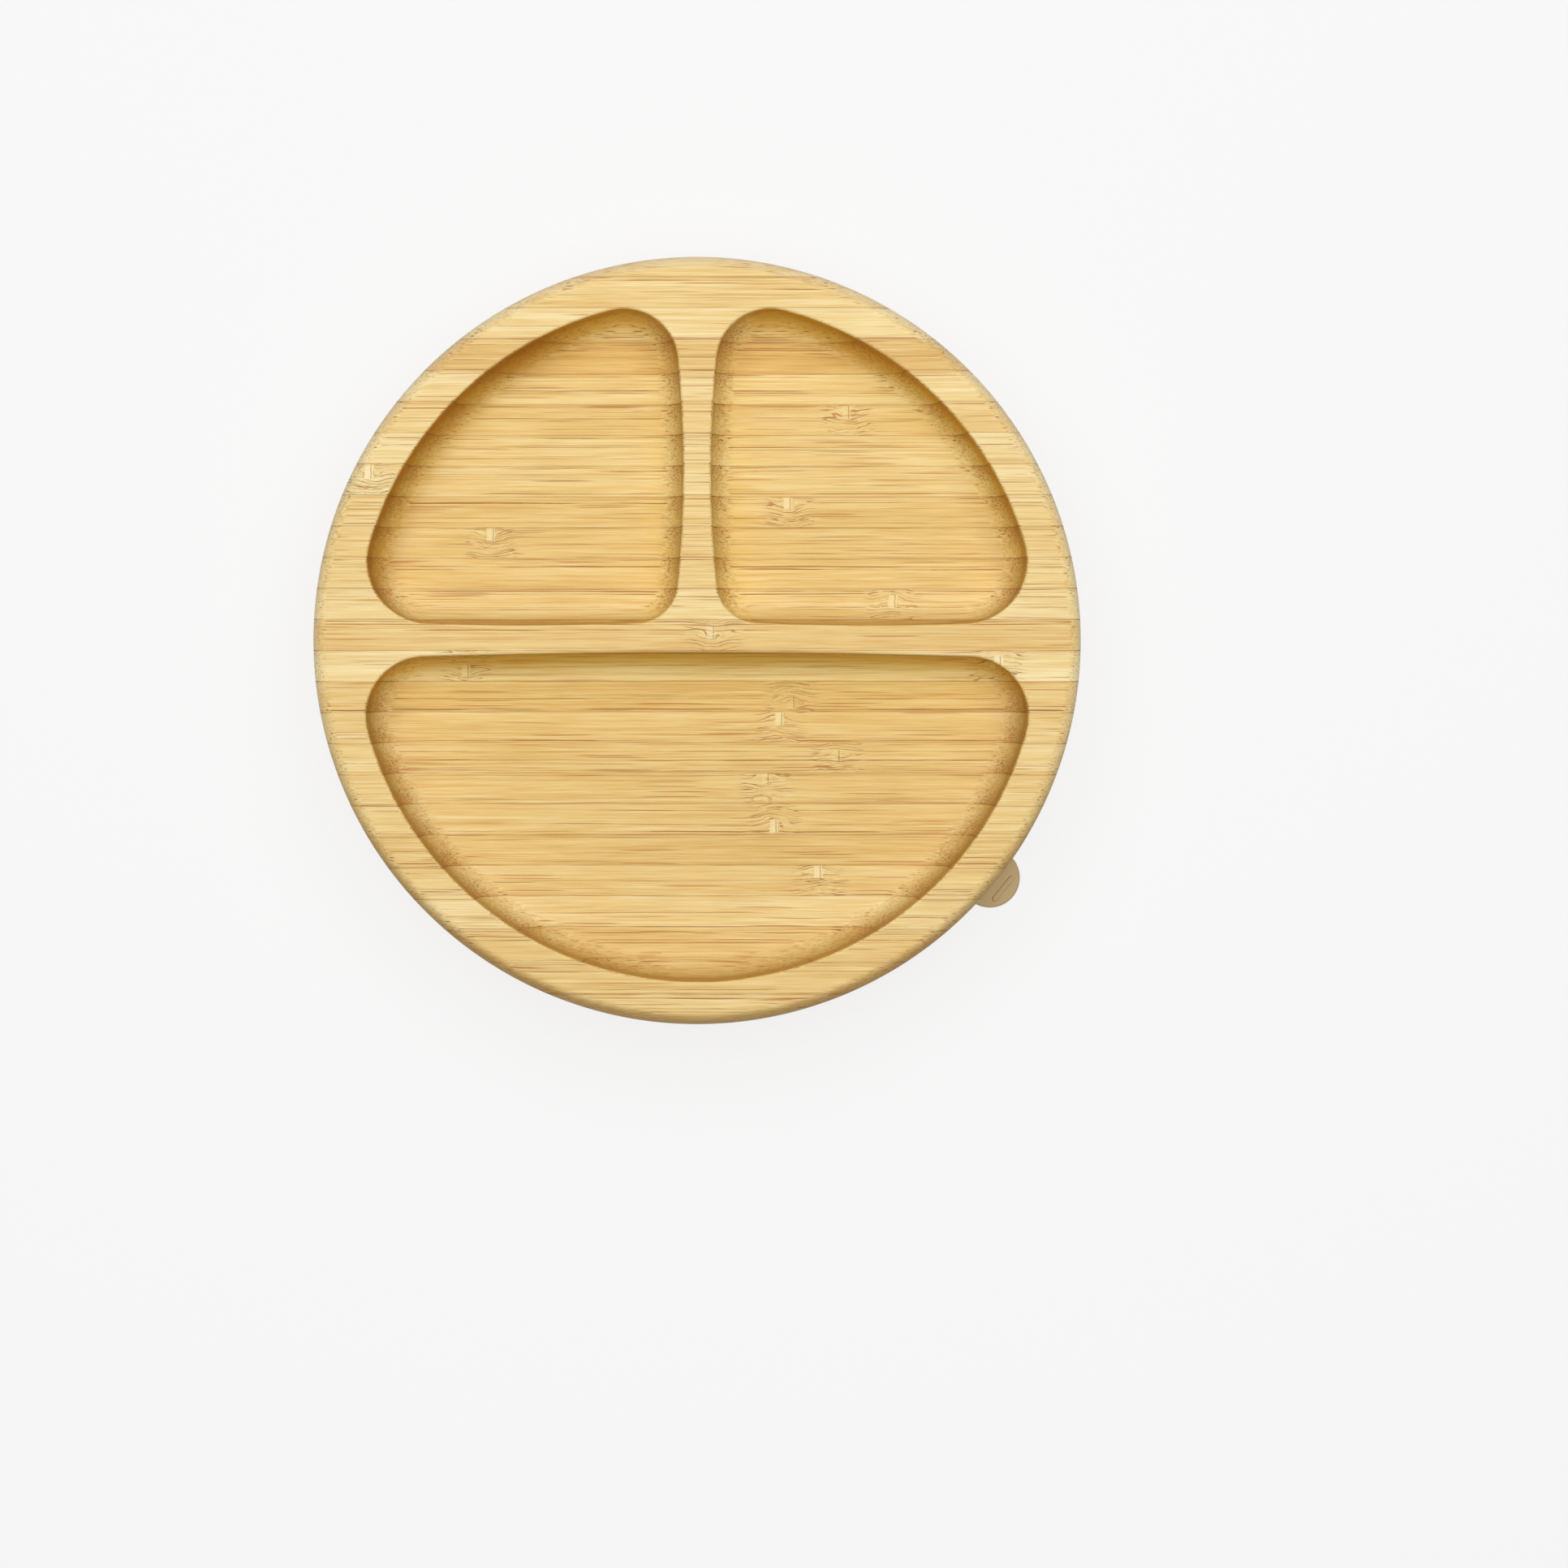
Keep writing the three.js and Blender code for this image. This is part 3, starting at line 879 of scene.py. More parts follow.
@dataclass
class Shell:
    """A closed surface whose points carry the true direction of the surface there."""

    points: list[Point3] = field(default_factory=list)
    ways: list[Point3] = field(default_factory=list)
    faces: list[list[int]] = field(default_factory=list)

    def ring(self, places: Iterable[Point3], ways: Iterable[Point3]) -> list[int]:
        """Adds a ring of points and returns their numbers."""
        first = len(self.points)
        self.points += places
        self.ways += ways
        return list(range(first, len(self.points)))

    def bridge(self, lower: list[int], upper: list[int]) -> None:
        """Joins two rings of as many points with a band of quads."""
        count = len(lower)
        for k in range(count):
            after = (k + 1) % count
            self.faces.append([lower[k], lower[after], upper[after], upper[k]])

    def loft(self, rings: list[list[int]]) -> None:
        """Joins a row of rings, each to the next."""
        for lower, upper in zip(rings, rings[1:]):
            self.bridge(lower, upper)

    def split(self, face: list[int], level: float, cuts: dict) -> tuple[list[int], list[int]]:
        """Cuts one face at a plane across Y.

        Args:
            face: The numbers of the face's points.
            level: The plane's place along Y.
            cuts: The points that the cuts have made so far, by the ends of the edge.

        Returns:
            What lies before the plane and what lies beyond it.
        """
        before: list[int] = []
        beyond: list[int] = []
        for a, b in zip(face, face[1:] + face[:1]):
            here, there = self.points[a][1] - level, self.points[b][1] - level
            if here <= 0:
                before.append(a)
            if here >= 0:
                beyond.append(a)
            if here * there < 0:
                key = (min(a, b), max(a, b))
                if key not in cuts:
                    cuts[key] = self._cut(a, b, here / (here - there), level)
                before.append(cuts[key])
                beyond.append(cuts[key])
        return before, beyond

    def _cut(self, a: int, b: int, share: float, level: float) -> int:
        """Adds the point where an edge crosses a plane and returns its number."""
        point = np.array(self.points[a]) * (1 - share) + np.array(self.points[b]) * share
        way = np.array(self.ways[a]) * (1 - share) + np.array(self.ways[b]) * share
        way /= np.linalg.norm(way)
        self.points.append((float(point[0]), level, float(point[2])))
        self.ways.append(tuple(float(part) for part in way))
        return len(self.points) - 1

    def slabs(self, levels: list[float]) -> list[list[list[int]]]:
        """Cuts the surface at each level into open slabs.

        Args:
            levels: Places of the cuts along Y, from the near one on.

        Returns:
            The faces of each slab, from the near one on.
        """
        found: list[list[list[int]]] = []
        rest = self.faces
        for level in levels:
            cuts: dict = {}
            slab, beyond = [], []
            for face in rest:
                heights = [self.points[k][1] for k in face]
                if max(heights) <= level:
                    slab.append(face)
                elif min(heights) >= level:
                    beyond.append(face)
                else:
                    first, second = self.split(face, level, cuts)
                    slab.append(first)
                    beyond.append(second)
            found.append(slab)
            rest = beyond
        return found + [rest]

    def lid(self, faces: list[list[int]], level: float) -> list[int]:
        """The face that closes a slab at one of its cuts.

        Args:
            faces: The slab's faces.
            level: The cut's place along Y.

        Returns:
            The numbers of the lid's points, in the order that faces outwards.
        """
        following: dict[int, int] = {}
        for face in faces:
            for a, b in zip(face, face[1:] + face[:1]):
                if self.points[a][1] == level and self.points[b][1] == level:
                    following[b] = a
        start = next(iter(following))
        loop = [start]
        while following[loop[-1]] != start:
            loop.append(following[loop[-1]])
        return loop


@dataclass
class CarvedPlate:
    """The bamboo plate: staves glued side by side, turned round and carved with three pockets."""

    radius: float
    underside: float
    top: float
    top_edge: float = 3.6
    bottom_edge: float = 4.0
    rim_width: float = 10.3
    pocket_depth: float = 12.0
    cove: float = 5.4
    ease: float = 0.7
    cross_upper: float = 3.6
    cross_lower: float = -2.8
    middle_half: float = 3.3
    middle_bow: float = 260.0
    upper_bow: float = 600.0
    lower_bow: float = 2000.0
    outer_corner: float = 14.5
    top_corner: float = 12.6
    inner_corner: float = 9.6
    lower_corner: float = 13.8
    spacing: float = 0.8
    segments: int = 288
    edge_steps: int = 10

    @classmethod
    def from_frame(cls) -> "CarvedPlate":
        """Takes the plate's radius, underside and top from its solids."""
        low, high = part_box(STAVE_LOOKS[len(STAVE_LOOKS) // 2].node)
        return cls(radius=high.x / MM, underside=low.z / MM, top=high.z / MM)

    @property
    def pockets(self) -> tuple[Pocket, ...]:
        """The right, left and lower pockets."""
        bowl = Disc(0.0, 0.0, self.radius - self.rim_width)
        middle = Disc(self.middle_half + self.middle_bow, bowl.radius / 2, self.middle_bow)
        upper = Disc(bowl.radius / 2, self.cross_upper + self.upper_bow, self.upper_bow)
        lower = Disc(0.0, self.cross_lower - self.lower_bow, self.lower_bow)
        middle_left = Disc(-middle.x, middle.y, middle.radius)
        upper_left = Disc(-upper.x, upper.y, upper.radius)
        corners = (self.top_corner, self.inner_corner, self.outer_corner)
        right = Pocket((bowl, middle, upper), corners)
        left = Pocket((bowl, upper_left, middle_left), corners[::-1])
        return right, left, Pocket((bowl, lower), (self.lower_corner, self.lower_corner))

    def carve(self) -> Shell:
        """Makes the carved plate as one closed surface.

        Returns:
            The surface.
        """
        shell = Shell()
        bottom, rim = self._turn(shell)
        mouths = [self._hollow(shell, pocket) for pocket in self.pockets]
        shell.faces.append(bottom[::-1])
        self._cover(shell, rim, mouths)
        return shell

    def _turn(self, shell: Shell) -> tuple[list[int], list[int]]:
        """Adds the outer edge, and returns the rings where it meets the underside and the top."""
        rings = []
        low = (self.underside + self.bottom_edge, self.bottom_edge, -90)
        high = (self.top - self.top_edge, self.top_edge, 0)
        around = [2 * math.pi * k / self.segments for k in range(self.segments)]
        for centre_z, edge, first in (low, high):
            for step in range(self.edge_steps + 1):
                angle = math.radians(first + 90 * step / self.edge_steps)
                out, up = math.cos(angle), math.sin(angle)
                r, z = self.radius - edge + edge * out, centre_z + edge * up
                places = [(r * math.cos(a), r * math.sin(a), z) for a in around]
                ways = [(out * math.cos(a), out * math.sin(a), up) for a in around]
                rings.append(shell.ring(places, ways))
        shell.loft(rings)
        return rings[0], rings[-1]

    def _hollow(self, shell: Shell, pocket: Pocket) -> list[int]:
        """Adds the wall and floor of a pocket, and returns the ring of its mouth."""
        points, ways = pocket.outline(self.spacing)
        floor = self.top - self.pocket_depth
        rings = []
        for step in range(self.edge_steps + 1):
            angle = math.radians(90 + 90 * step / self.edge_steps)
            out, up = math.cos(angle), math.sin(angle)
            offset, z = self.ease + self.ease * out, self.top - self.ease + self.ease * up
            rings.append(self._contour(shell, points, ways, offset, z, out, up))
        for step in range(self.edge_steps + 1):
            angle = math.radians(-90 * step / self.edge_steps)
            out, up = math.cos(angle), math.sin(angle)
            offset, z = -self.cove + self.cove * out, floor + self.cove + self.cove * up
            rings.append(self._contour(shell, points, ways, offset, z, -out, -up))
        shell.loft(rings)
        shell.faces.append(rings[-1])
        return rings[0]

    @staticmethod
    def _contour(
        shell: Shell,
        points: np.ndarray,
        ways: np.ndarray,
        offset: float,
        z: float,
        out: float,
        up: float,
    ) -> list[int]:
        """Adds one level of a pocket's wall.

        Args:
            shell: The surface.
            points: The pocket's outline.
            ways: The outward directions along the outline.
            offset: How far outside the outline the level runs.
            z: The level's height.
            out: How much the surface there faces away from the pocket's middle.
            up: How much the surface there faces up.

        Returns:
            The numbers of the level's points.
        """
        moved = points + ways * offset
        places = [(float(px), float(py), z) for px, py in moved]
        faces = [(float(wx * out), float(wy * out), up) for wx, wy in ways]
        return shell.ring(places, faces)

    @staticmethod
    def _cover(shell: Shell, rim: list[int], mouths: list[list[int]]) -> None:
        """Fills the flat top between the rim and the pockets' mouths with triangles."""
        loops = [rim, *mouths]
        order = [k for loop in loops for k in loop]
        owner = [number for number, loop in enumerate(loops) for _ in loop]
        edges = []
        for loop in loops:
            first = len(edges)
            edges += [(first + k, first + (k + 1) % len(loop)) for k in range(len(loop))]
        flat = [Vector(shell.points[k][:2]) for k in order]
        inside, slack = 1, 1e-7
        filled = geometry.delaunay_2d_cdt(flat, edges, [], inside, slack)
        spots, _, triangles, sources, _, _ = filled
        for a, b, c in triangles:
            owners = {owner[sources[k][0]] for k in (a, b, c)}
            if len(owners) == 1 and 0 not in owners:
                continue
            turn = (spots[b] - spots[a]).cross(spots[c] - spots[a])
            corners = (a, b, c) if turn > 0 else (a, c, b)
            shell.faces.append([order[sources[k][0]] for k in corners])

    def build(self) -> list[tuple[StaveLook, bpy.types.Object]]:
        """Cuts the carved plate into its staves.

        Returns:
            Each stave's look and its object.
        """
        shell = self.carve()
        levels = [look.far for look in STAVE_LOOKS[:-1]]
        slabs = shell.slabs(levels)
        made = []
        for k, (look, faces) in enumerate(zip(STAVE_LOOKS, slabs)):
            lids = []
            if k > 0:
                lids.append((shell.lid(faces, levels[k - 1]), (0.0, -1.0, 0.0)))
            if k < len(levels):
                lids.append((shell.lid(faces, levels[k]), (0.0, 1.0, 0.0)))
            made.append((look, self._stave(look, shell, faces, lids)))
        return made

    @staticmethod
    def _stave(
        look: StaveLook,
        shell: Shell,
        faces: list[list[int]],
        lids: list[tuple[list[int], Point3]],
    ) -> bpy.types.Object:
        """Makes the object of one stave.

        Args:
            look: The stave's look.
            shell: The carved plate.
            faces: The faces of this stave's slab.
            lids: The glue faces, each with its outward direction.

        Returns:
            The object, with the stave's numbers kept on its mesh.
        """
        used = sorted({k for face in faces for k in face})
        place = {k: order for order, k in enumerate(used)}
        every = faces + [lid for lid, _ in lids]
        mesh = bpy.data.meshes.new(f"stave_{look.number:02d}")
        points = metres(shell.points[k] for k in used)
        mesh.from_pydata(points, [], [[place[k] for k in face] for face in every])
        mesh.shade_smooth()
        corner_ways = [shell.ways[k] for face in faces for k in face]
        for lid, way in lids:
            corner_ways += [way] * len(lid)
        mesh.normals_split_custom_set(corner_ways)
        count = len(used)
        numbers = {
            "stave_near": [look.near] * count,
            "stave_seed": [look.number * SEED_STEP] * count,
            "stave_tone": [look.tone.value] * count,
            "stave_skin": [look.skin.value] * count,
            "end_cut": [shell.ways[k][0] ** 2 for k in used],
            "steep": [1.0 - abs(shell.ways[k][2]) for k in used],
            "facing": [shell.ways[k][1] for k in used],
        }
        for name, values in numbers.items():
            mesh.attributes.new(name, "FLOAT", "POINT").data.foreach_set("value", values)
        knuckles = (*look.knuckles, NO_KNUCKLE, NO_KNUCKLE)
        for name, knuckle in zip(KNUCKLE_NAMES, knuckles):
            kept = mesh.attributes.new(name, "FLOAT_COLOR", "POINT")
            kept.data.foreach_set("color", knuckle.numbers * count)
        return place_object(mesh)

    def dress(self, staves: list[tuple[StaveLook, bpy.types.Object]]) -> None:
        """Gives the staves their finish and ties each to its solid.

        Args:
            staves: Each stave's look and its object.
        """
        pitch = STAVE_LOOKS[1].far - STAVE_LOOKS[1].near
        bowl = self.radius - self.rim_width
        cross = (self.cross_lower, self.cross_upper)
        bamboo = BambooFinish(pitch, self.top, bowl, cross, self.middle_half).material()
        for look, stave in staves:
            stave.data.materials.append(bamboo)
            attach(stave, "plate")
            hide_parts(look.node)
            report(stave)


class Section:
    """The section of a turned piece, drawn in (radius, height) millimetres."""

    def __init__(self, r: float, z: float) -> None:
        """Starts at a point."""
        self.points: list[Point2] = [(r, z)]

    def line(self, *corners: Point2) -> "Section":
        """Goes straight on to each point in turn."""
        self.points += corners
        return self

    def arc(self, centre: Point2, radii: Point2, start: float, end: float, steps: int) -> "Section":
        """Goes round part of an ellipse.

        Args:
            centre: The ellipse's centre.
            radii: Its half width and half height.
            start: The angle that it starts from, in degrees, where the section is already.
            end: The angle that it ends at.
            steps: How many points it takes.

        Returns:
            The section.
        """
        for step in range(1, steps + 1):
            angle = math.radians(start + (end - start) * step / steps)
            spot = (centre[0] + radii[0] * math.cos(angle), centre[1] + radii[1] * math.sin(angle))
            self.points.append(spot)
        return self

    def curve(self, first: Point2, second: Point2, end: Point2, steps: int) -> "Section":
        """Follows a cubic curve.

        Args:
            first: Its first control point.
            second: Its second control point.
            end: Its last point.
            steps: How many points it takes.

        Returns:
            The section.
        """
        start = self.points[-1]
        for step in range(1, steps + 1):
            t = step / steps
            shares = ((1 - t) ** 3, 3 * t * (1 - t) ** 2, 3 * t**2 * (1 - t), t**3)
            spots = (start, first, second, end)
            self.points.append(
                tuple(sum(share * spot[k] for share, spot in zip(shares, spots)) for k in range(2))
            )
        return self


class TurnedPiece:
    """A Geometry Nodes tree that sweeps a section round the plate's axis."""

    def __init__(self) -> None:
        """Builds the tree with its named inputs."""
        self.tree = bpy.data.node_groups.new("turned_piece", "GeometryNodeTree")
        sockets = {
            "Section": ("INPUT", "Geometry"),
            "Rail Radius": ("INPUT", "Float"),
            "Segments": ("INPUT", "Int"),
            "Finish": ("INPUT", "Material"),
            "Turned": ("OUTPUT", "Geometry"),
        }
        for name, (side, kind) in sockets.items():
            self.tree.interface.new_socket(name, in_out=side, socket_type=f"NodeSocket{kind}")
        start = self._node("NodeGroupInput")
        rail = self._node("GeometryNodeCurvePrimitiveCircle", {"mode": "RADIUS"})
        upright = self._node("GeometryNodeSetCurveNormal", {"mode": "Z_UP"})
        section = self._node("GeometryNodeMeshToCurve")
        sweep = self._node("GeometryNodeCurveToMesh")
        closed = self._node("GeometryNodeMergeByDistance")
        closed.inputs["Distance"].default_value = 2 * WELD
        real = self._node("GeometryNodeRealizeInstances")
        finish = self._node("GeometryNodeSetMaterial")
        end = self._node("NodeGroupOutput")
        links = (
            (start, "Rail Radius", rail, "Radius"),
            (start, "Segments", rail, "Resolution"),
            (rail, "Curve", upright, "Curve"),
            (start, "Section", section, "Mesh"),
            (upright, "Curve", sweep, "Curve"),
            (section, "Curve", sweep, "Profile Curve"),
            (sweep, "Mesh", closed, "Geometry"),
            (closed, "Geometry", real, "Geometry"),
            (real, "Geometry", finish, "Geometry"),
            (start, "Finish", finish, "Material"),
            (finish, "Geometry", end, "Turned"),
        )
        for giver, out, taker, into in links:
            self.tree.links.new(giver.outputs[out], taker.inputs[into])

    def _node(self, kind: str, settings: Optional[dict[str, Any]] = None) -> bpy.types.Node:
        """Adds a node with its own properties set."""
        node = self.tree.nodes.new(kind)
        for name, value in (settings or {}).items():
            setattr(node, name, value)
        return node

    def make(
        self, name: str, section: Section, closed: bool, segments: int, finish: bpy.types.Material
    ) -> bpy.types.Object:
        """Turns a section into a plain mesh.

        Args:
            name: The piece's name.
            section: Its section.
            closed: Whether the section's end joins its start.
            segments: How many facets go round.
            finish: The piece's material.

        Returns:
            The piece's object.
        """
        radii = [r for r, _ in section.points]
        rail = (min(radii) + max(radii)) / 2
        spots = [((r - rail) * MM, -z * MM, 0.0) for r, z in section.points]
        count = len(spots)
        edges = [(k, (k + 1) % count) for k in range(count if closed else count - 1)]
        mesh = bpy.data.meshes.new(name + "_section")
        mesh.from_pydata(spots, edges, [])
        piece = place_object(mesh, name)
        modifier = piece.modifiers.new("turned", "NODES")
        modifier.node_group = self.tree
        values = {"Rail Radius": rail * MM, "Segments": segments, "Finish": finish}
        for socket in self.tree.interface.items_tree:
            if socket.in_out == "INPUT" and socket.name in values:
                modifier[socket.identifier] = values[socket.name]
        settle(piece)
        face_outwards(piece.data)
        return piece


@dataclass
class FootDisc:
    """The round bamboo foot under the plate, with the groove that holds the suction ring."""

    radius: float
    bottom: float
    top: float
    edge: float = 0.8
    groove_z: float = 7.5
    groove_half: float = 2.1
    groove_depth: float = 2.0
    edge_support: float = 0.3
    edge_steps: int = 8
    groove_steps: int = 16
    segments: int = 192

    @classmethod
    def from_frame(cls) -> "FootDisc":
        """Takes the foot's radius and height from its solid."""
        low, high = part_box("foot_disc")
        return cls(radius=high.x / MM, bottom=low.z / MM, top=high.z / MM)

    def section(self) -> Section:
        """Draws the foot's section, from its face round to where it meets the plate."""
        flat = self.radius - self.edge
        groove = (self.groove_depth, self.groove_half)
        drawn = Section(0.0, self.bottom)
        drawn.line((self.radius / 2, self.bottom), (flat - self.edge_support, self.bottom))
        drawn.line((flat, self.bottom))
        drawn.arc((flat, self.bottom + self.edge), (self.edge, self.edge), -90, 0, self.edge_steps)
        drawn.line((self.radius, self.groove_z - self.groove_half))
        drawn.arc((self.radius, self.groove_z), groove, 270, 90, self.groove_steps)
        return drawn.line((self.radius, self.top), (0.0, self.top))

    def build(self, lathe: TurnedPiece) -> bpy.types.Object:
        """Turns the foot.

        Args:
            lathe: The tree that turns it.

        Returns:
            The foot's object.
        """
        finish = PressedFinish().material()
        foot = lathe.make("pressed_foot", self.section(), False, self.segments, finish)
        soften(foot.data)
        return foot

    @staticmethod
    def dress(foot: bpy.types.Object) -> None:
        """Ties the foot to its solid."""
        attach(foot, "plate")
        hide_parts("foot_disc")
        report(foot)


@dataclass
class SuctionMoulding:
    """The silicone moulding: a suction ring that grips the foot, with its pull tab and grip bar."""

    bore: float = 46.8
    bottom: float = 3.0
    collar: float = 51.4
    collar_top: float = 12.2
    collar_ease: float = 0.6
    skirt_root: float = 7.8
    cup_rise: float = 2.8
    cup_first: float = 57.896
    cup_second: Point2 = (66.364, 4.68)
    skirt_first: Point2 = (67.78, 6.52)
    skirt_second: float = 60.16
    lip: float = 78.0
    lip_thickness: float = 1.4
    lip_flat: float = 2.0
    bead_z: float = 7.5
    bead_half: float = 1.8
    bead_depth: float = 2.0
    tab_angle: float = -39.0
    tab_from: float = 75.8
    tab_root: float = 80.3
    tab_end: float = 98.9
    tab_root_half: float = 8.25
    tab_end_half: float = 7.3
    tab_low: float = 0.6
    tab_high: float = 2.4
    tab_edge: float = 0.7
    bar_x: float = 95.7
    bar_length: float = 7.8
    bar_half: float = 0.72
    bar_rise: float = 0.62
    bar_edge: float = 0.45
    bend_from: float = 78.3
    bend_to: float = 82.5
    bend_cuts: int = 8
    curve_steps: int = 28
    round_steps: int = 6
    segments: int = 240

    def section(self) -> Section:
        """Draws the ring's section, from its bore's foot out to the lip and back over the skirt."""
        ease = self.collar_ease
        half = self.lip_thickness / 2
        edge = (self.lip - self.lip_flat, 0.0)
        root = (self.collar + ease, self.skirt_root)
        drawn = Section(self.bore + ease, self.bottom)
        rise = (self.cup_first, self.bottom + self.cup_rise)
        drawn.curve(rise, self.cup_second, edge, self.curve_steps)
        drawn.line((self.lip - half, 0.0))
        drawn.arc((self.lip - half, half), (half, half), -90, 60, 10)
        flare = (self.skirt_second, self.skirt_root)
        drawn.curve(self.skirt_first, flare, root, self.curve_steps)
        drawn.arc((root[0], root[1] + ease), (ease, ease), 270, 180, self.round_steps)
        drawn.line((self.collar, self.collar_top - ease))
        shoulder = (self.collar - ease, self.collar_top - ease)
        drawn.arc(shoulder, (ease, ease), 0, 90, self.round_steps)
        drawn.line((self.bore, self.collar_top), (self.bore, self.bead_z + self.bead_half))
        drawn.arc((self.bore, self.bead_z), (self.bead_depth, self.bead_half), 90, 270, 14)
        drawn.line((self.bore, self.bottom + ease))
        return drawn.arc((self.bore + ease, self.bottom + ease), (ease, ease), 180, 250, 5)

    def tab_outline(self) -> list[tuple[Point2, Point2]]:
        """Traces the tab anticlockwise, X along the tab, with outward directions."""
        centre = self.tab_end - self.tab_end_half
        run = centre - self.tab_root
        reach = math.hypot(run, self.tab_root_half)
        lean = math.asin(self.tab_end_half / reach) - math.asin(self.tab_root_half / reach)
        turn = math.pi / 2 - lean
        side = (math.cos(turn), math.sin(turn))
        end = Disc(centre, 0.0, self.tab_end_half).arc(-turn, turn + 1e-9, 0.5)
        lower = [((self.tab_from, -self.tab_root_half), (0.0, -1.0))]
        lower.append(((self.tab_root, -self.tab_root_half), (side[0] / 2, -1.0)))
        upper = [((x, -y), (wx, -wy)) for (x, y), (wx, wy) in reversed(lower)]
        last = (centre + self.tab_end_half * side[0], self.tab_end_half * side[1])
        return [*lower, *end, (last, side), *upper]

    def bar_outline(self) -> list[tuple[Point2, Point2]]:
        """Traces the grip bar across the tab, with outward directions."""
        reach = self.bar_length / 2 - self.bar_half
        far = Disc(self.bar_x, reach, self.bar_half).arc(0.0, math.pi, 0.2)
        near = Disc(self.bar_x, -reach, self.bar_half).arc(math.pi, 2 * math.pi, 0.2)
        return [*far, *near]

    def slab(
        self, name: str, trace: list[tuple[Point2, Point2]], levels: list[Point2]
    ) -> bpy.types.Object:
        """Builds a flat piece with eased edges on the tab's axis.

        Args:
            name: The piece's name.
            trace: Its outline, with outward directions.
            levels: How far outside the outline it reaches, and at which height, from below.

        Returns:
            The piece's object.
        """
        turn = math.radians(self.tab_angle)
        c, s = math.cos(turn), math.sin(turn)
        shell = Shell()
        rings = []
        for offset, z in levels:
            spots = [(px + wx * offset, py + wy * offset) for (px, py), (wx, wy) in trace]
            places = [(px * c - py * s, px * s + py * c, z) for px, py in spots]
            rings.append(shell.ring(places, [(0.0, 0.0, 1.0)] * len(places)))
        shell.loft(rings)
        shell.faces += [rings[0][::-1], rings[-1]]
        mesh = bpy.data.meshes.new(name)
        mesh.from_pydata(metres(shell.points), [], shell.faces)
        return place_object(mesh)

    def build(self, lathe: TurnedPiece) -> bpy.types.Object:
        """Turns the ring and joins the tab and its grip bar to it.

        Args:
            lathe: The tree that turns the ring.

        Returns:
            The moulding's object.
        """
        finish = SiliconeFinish().material()
        ring = lathe.make("suction_moulding", self.section(), True, self.segments, finish)
        edge = self.tab_edge
        rounds = [math.radians(90 * k / self.round_steps) for k in range(self.round_steps + 1)]
        low, high = self.tab_low + edge, self.tab_high - edge
        lower = [(edge * math.sin(a) - edge, low - edge * math.cos(a)) for a in rounds]
        upper = [(edge * math.cos(a) - edge, high + edge * math.sin(a)) for a in rounds]
        tab = self.slab("tab", self.tab_outline(), lower + upper)
        crest, ease = self.tab_high + self.bar_rise, self.bar_edge
        crown = [(ease * math.cos(a) - ease, crest - ease + ease * math.sin(a)) for a in rounds]
        bar = self.slab("bar", self.bar_outline(), [(0.0, high), *crown])
        for joined in (tab, bar):
            union = ring.modifiers.new("join", "BOOLEAN")
            union.operation = "UNION"
            union.solver = "EXACT"
            union.object = joined
        settle(ring)
        for joined in (tab, bar):
            bpy.data.meshes.remove(joined.data)
        ring.data.materials.clear()
        ring.data.materials.append(finish)
        self.crease(ring.data)
        face_outwards(ring.data)
        soften(ring.data)
        return ring

    @property
    def way(self) -> Vector:
        """One millimetre along the tab."""
        turn = math.radians(self.tab_angle)
        return Vector((math.cos(turn), math.sin(turn), 0.0)) * MM

    def crease(self, mesh: bpy.types.Mesh) -> None:
        """Cuts the tab across near its root, so that it bends there in a curve.

        Args:
            mesh: The moulding's mesh.
        """
        work = bmesh.new()
        work.from_mesh(mesh)
        across, slack = self.way.normalized(), 1e-7
        for k in range(self.bend_cuts):
            reach = self.bend_from + (self.bend_to - self.bend_from) * k / (self.bend_cuts - 1)
            parts = [*work.verts, *work.edges, *work.faces]
            bmesh.ops.bisect_plane(
                work, geom=parts, dist=slack, plane_co=self.way * reach, plane_no=across
            )
        work.to_mesh(mesh)
        work.free()

    def dress(self, moulding: bpy.types.Object) -> None:
        """Bakes the moulding's placement into its mesh and hides the ring's and the tab's solids.

        Args:
            moulding: The moulding's object.
        """
        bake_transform(moulding)
        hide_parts("suction_ring", "pull_tab")
        report(moulding)


def metres(points: Iterable[Point3]) -> list[Point3]:
    """Points in metres, from points in millimetres."""
    return [tuple(part * MM for part in point) for point in points]


def place_object(mesh: bpy.types.Mesh, name: Optional[str] = None) -> bpy.types.Object:
    """Puts a mesh in the scene at the origin.

    Args:
        mesh: The mesh.
        name: The object's name, or none for the mesh's own.

    Returns:
        The object.
    """
    made = bpy.data.objects.new(name or mesh.name, mesh)
    bpy.context.scene.collection.objects.link(made)
    return made


def settle(piece: bpy.types.Object) -> None:
    """Turns a piece's modifiers into plain mesh."""
    graph = bpy.context.evaluated_depsgraph_get()
    mesh = bpy.data.meshes.new_from_object(piece.evaluated_get(graph))
    piece.modifiers.clear()
    piece.data = mesh
    mesh.name = piece.name


def face_outwards(mesh: bpy.types.Mesh) -> None:
    """Merges doubled points and turns every face of a closed mesh outwards."""
    work = bmesh.new()
    work.from_mesh(mesh)
    bmesh.ops.remove_doubles(work, verts=work.verts, dist=WELD)
    bmesh.ops.recalc_face_normals(work, faces=work.faces)
    work.to_mesh(mesh)
    work.free()


def soften(mesh: bpy.types.Mesh) -> None:
    """Shades a mesh smooth, apart from its sharp edges."""
    mesh.shade_smooth()
    mesh.set_sharp_from_angle(angle=math.radians(SHARP_ANGLE))


def report(piece: bpy.types.Object) -> None:
    """Logs a finished piece."""
    LOG.info("%s: %d faces", piece.name, len(piece.data.polygons))


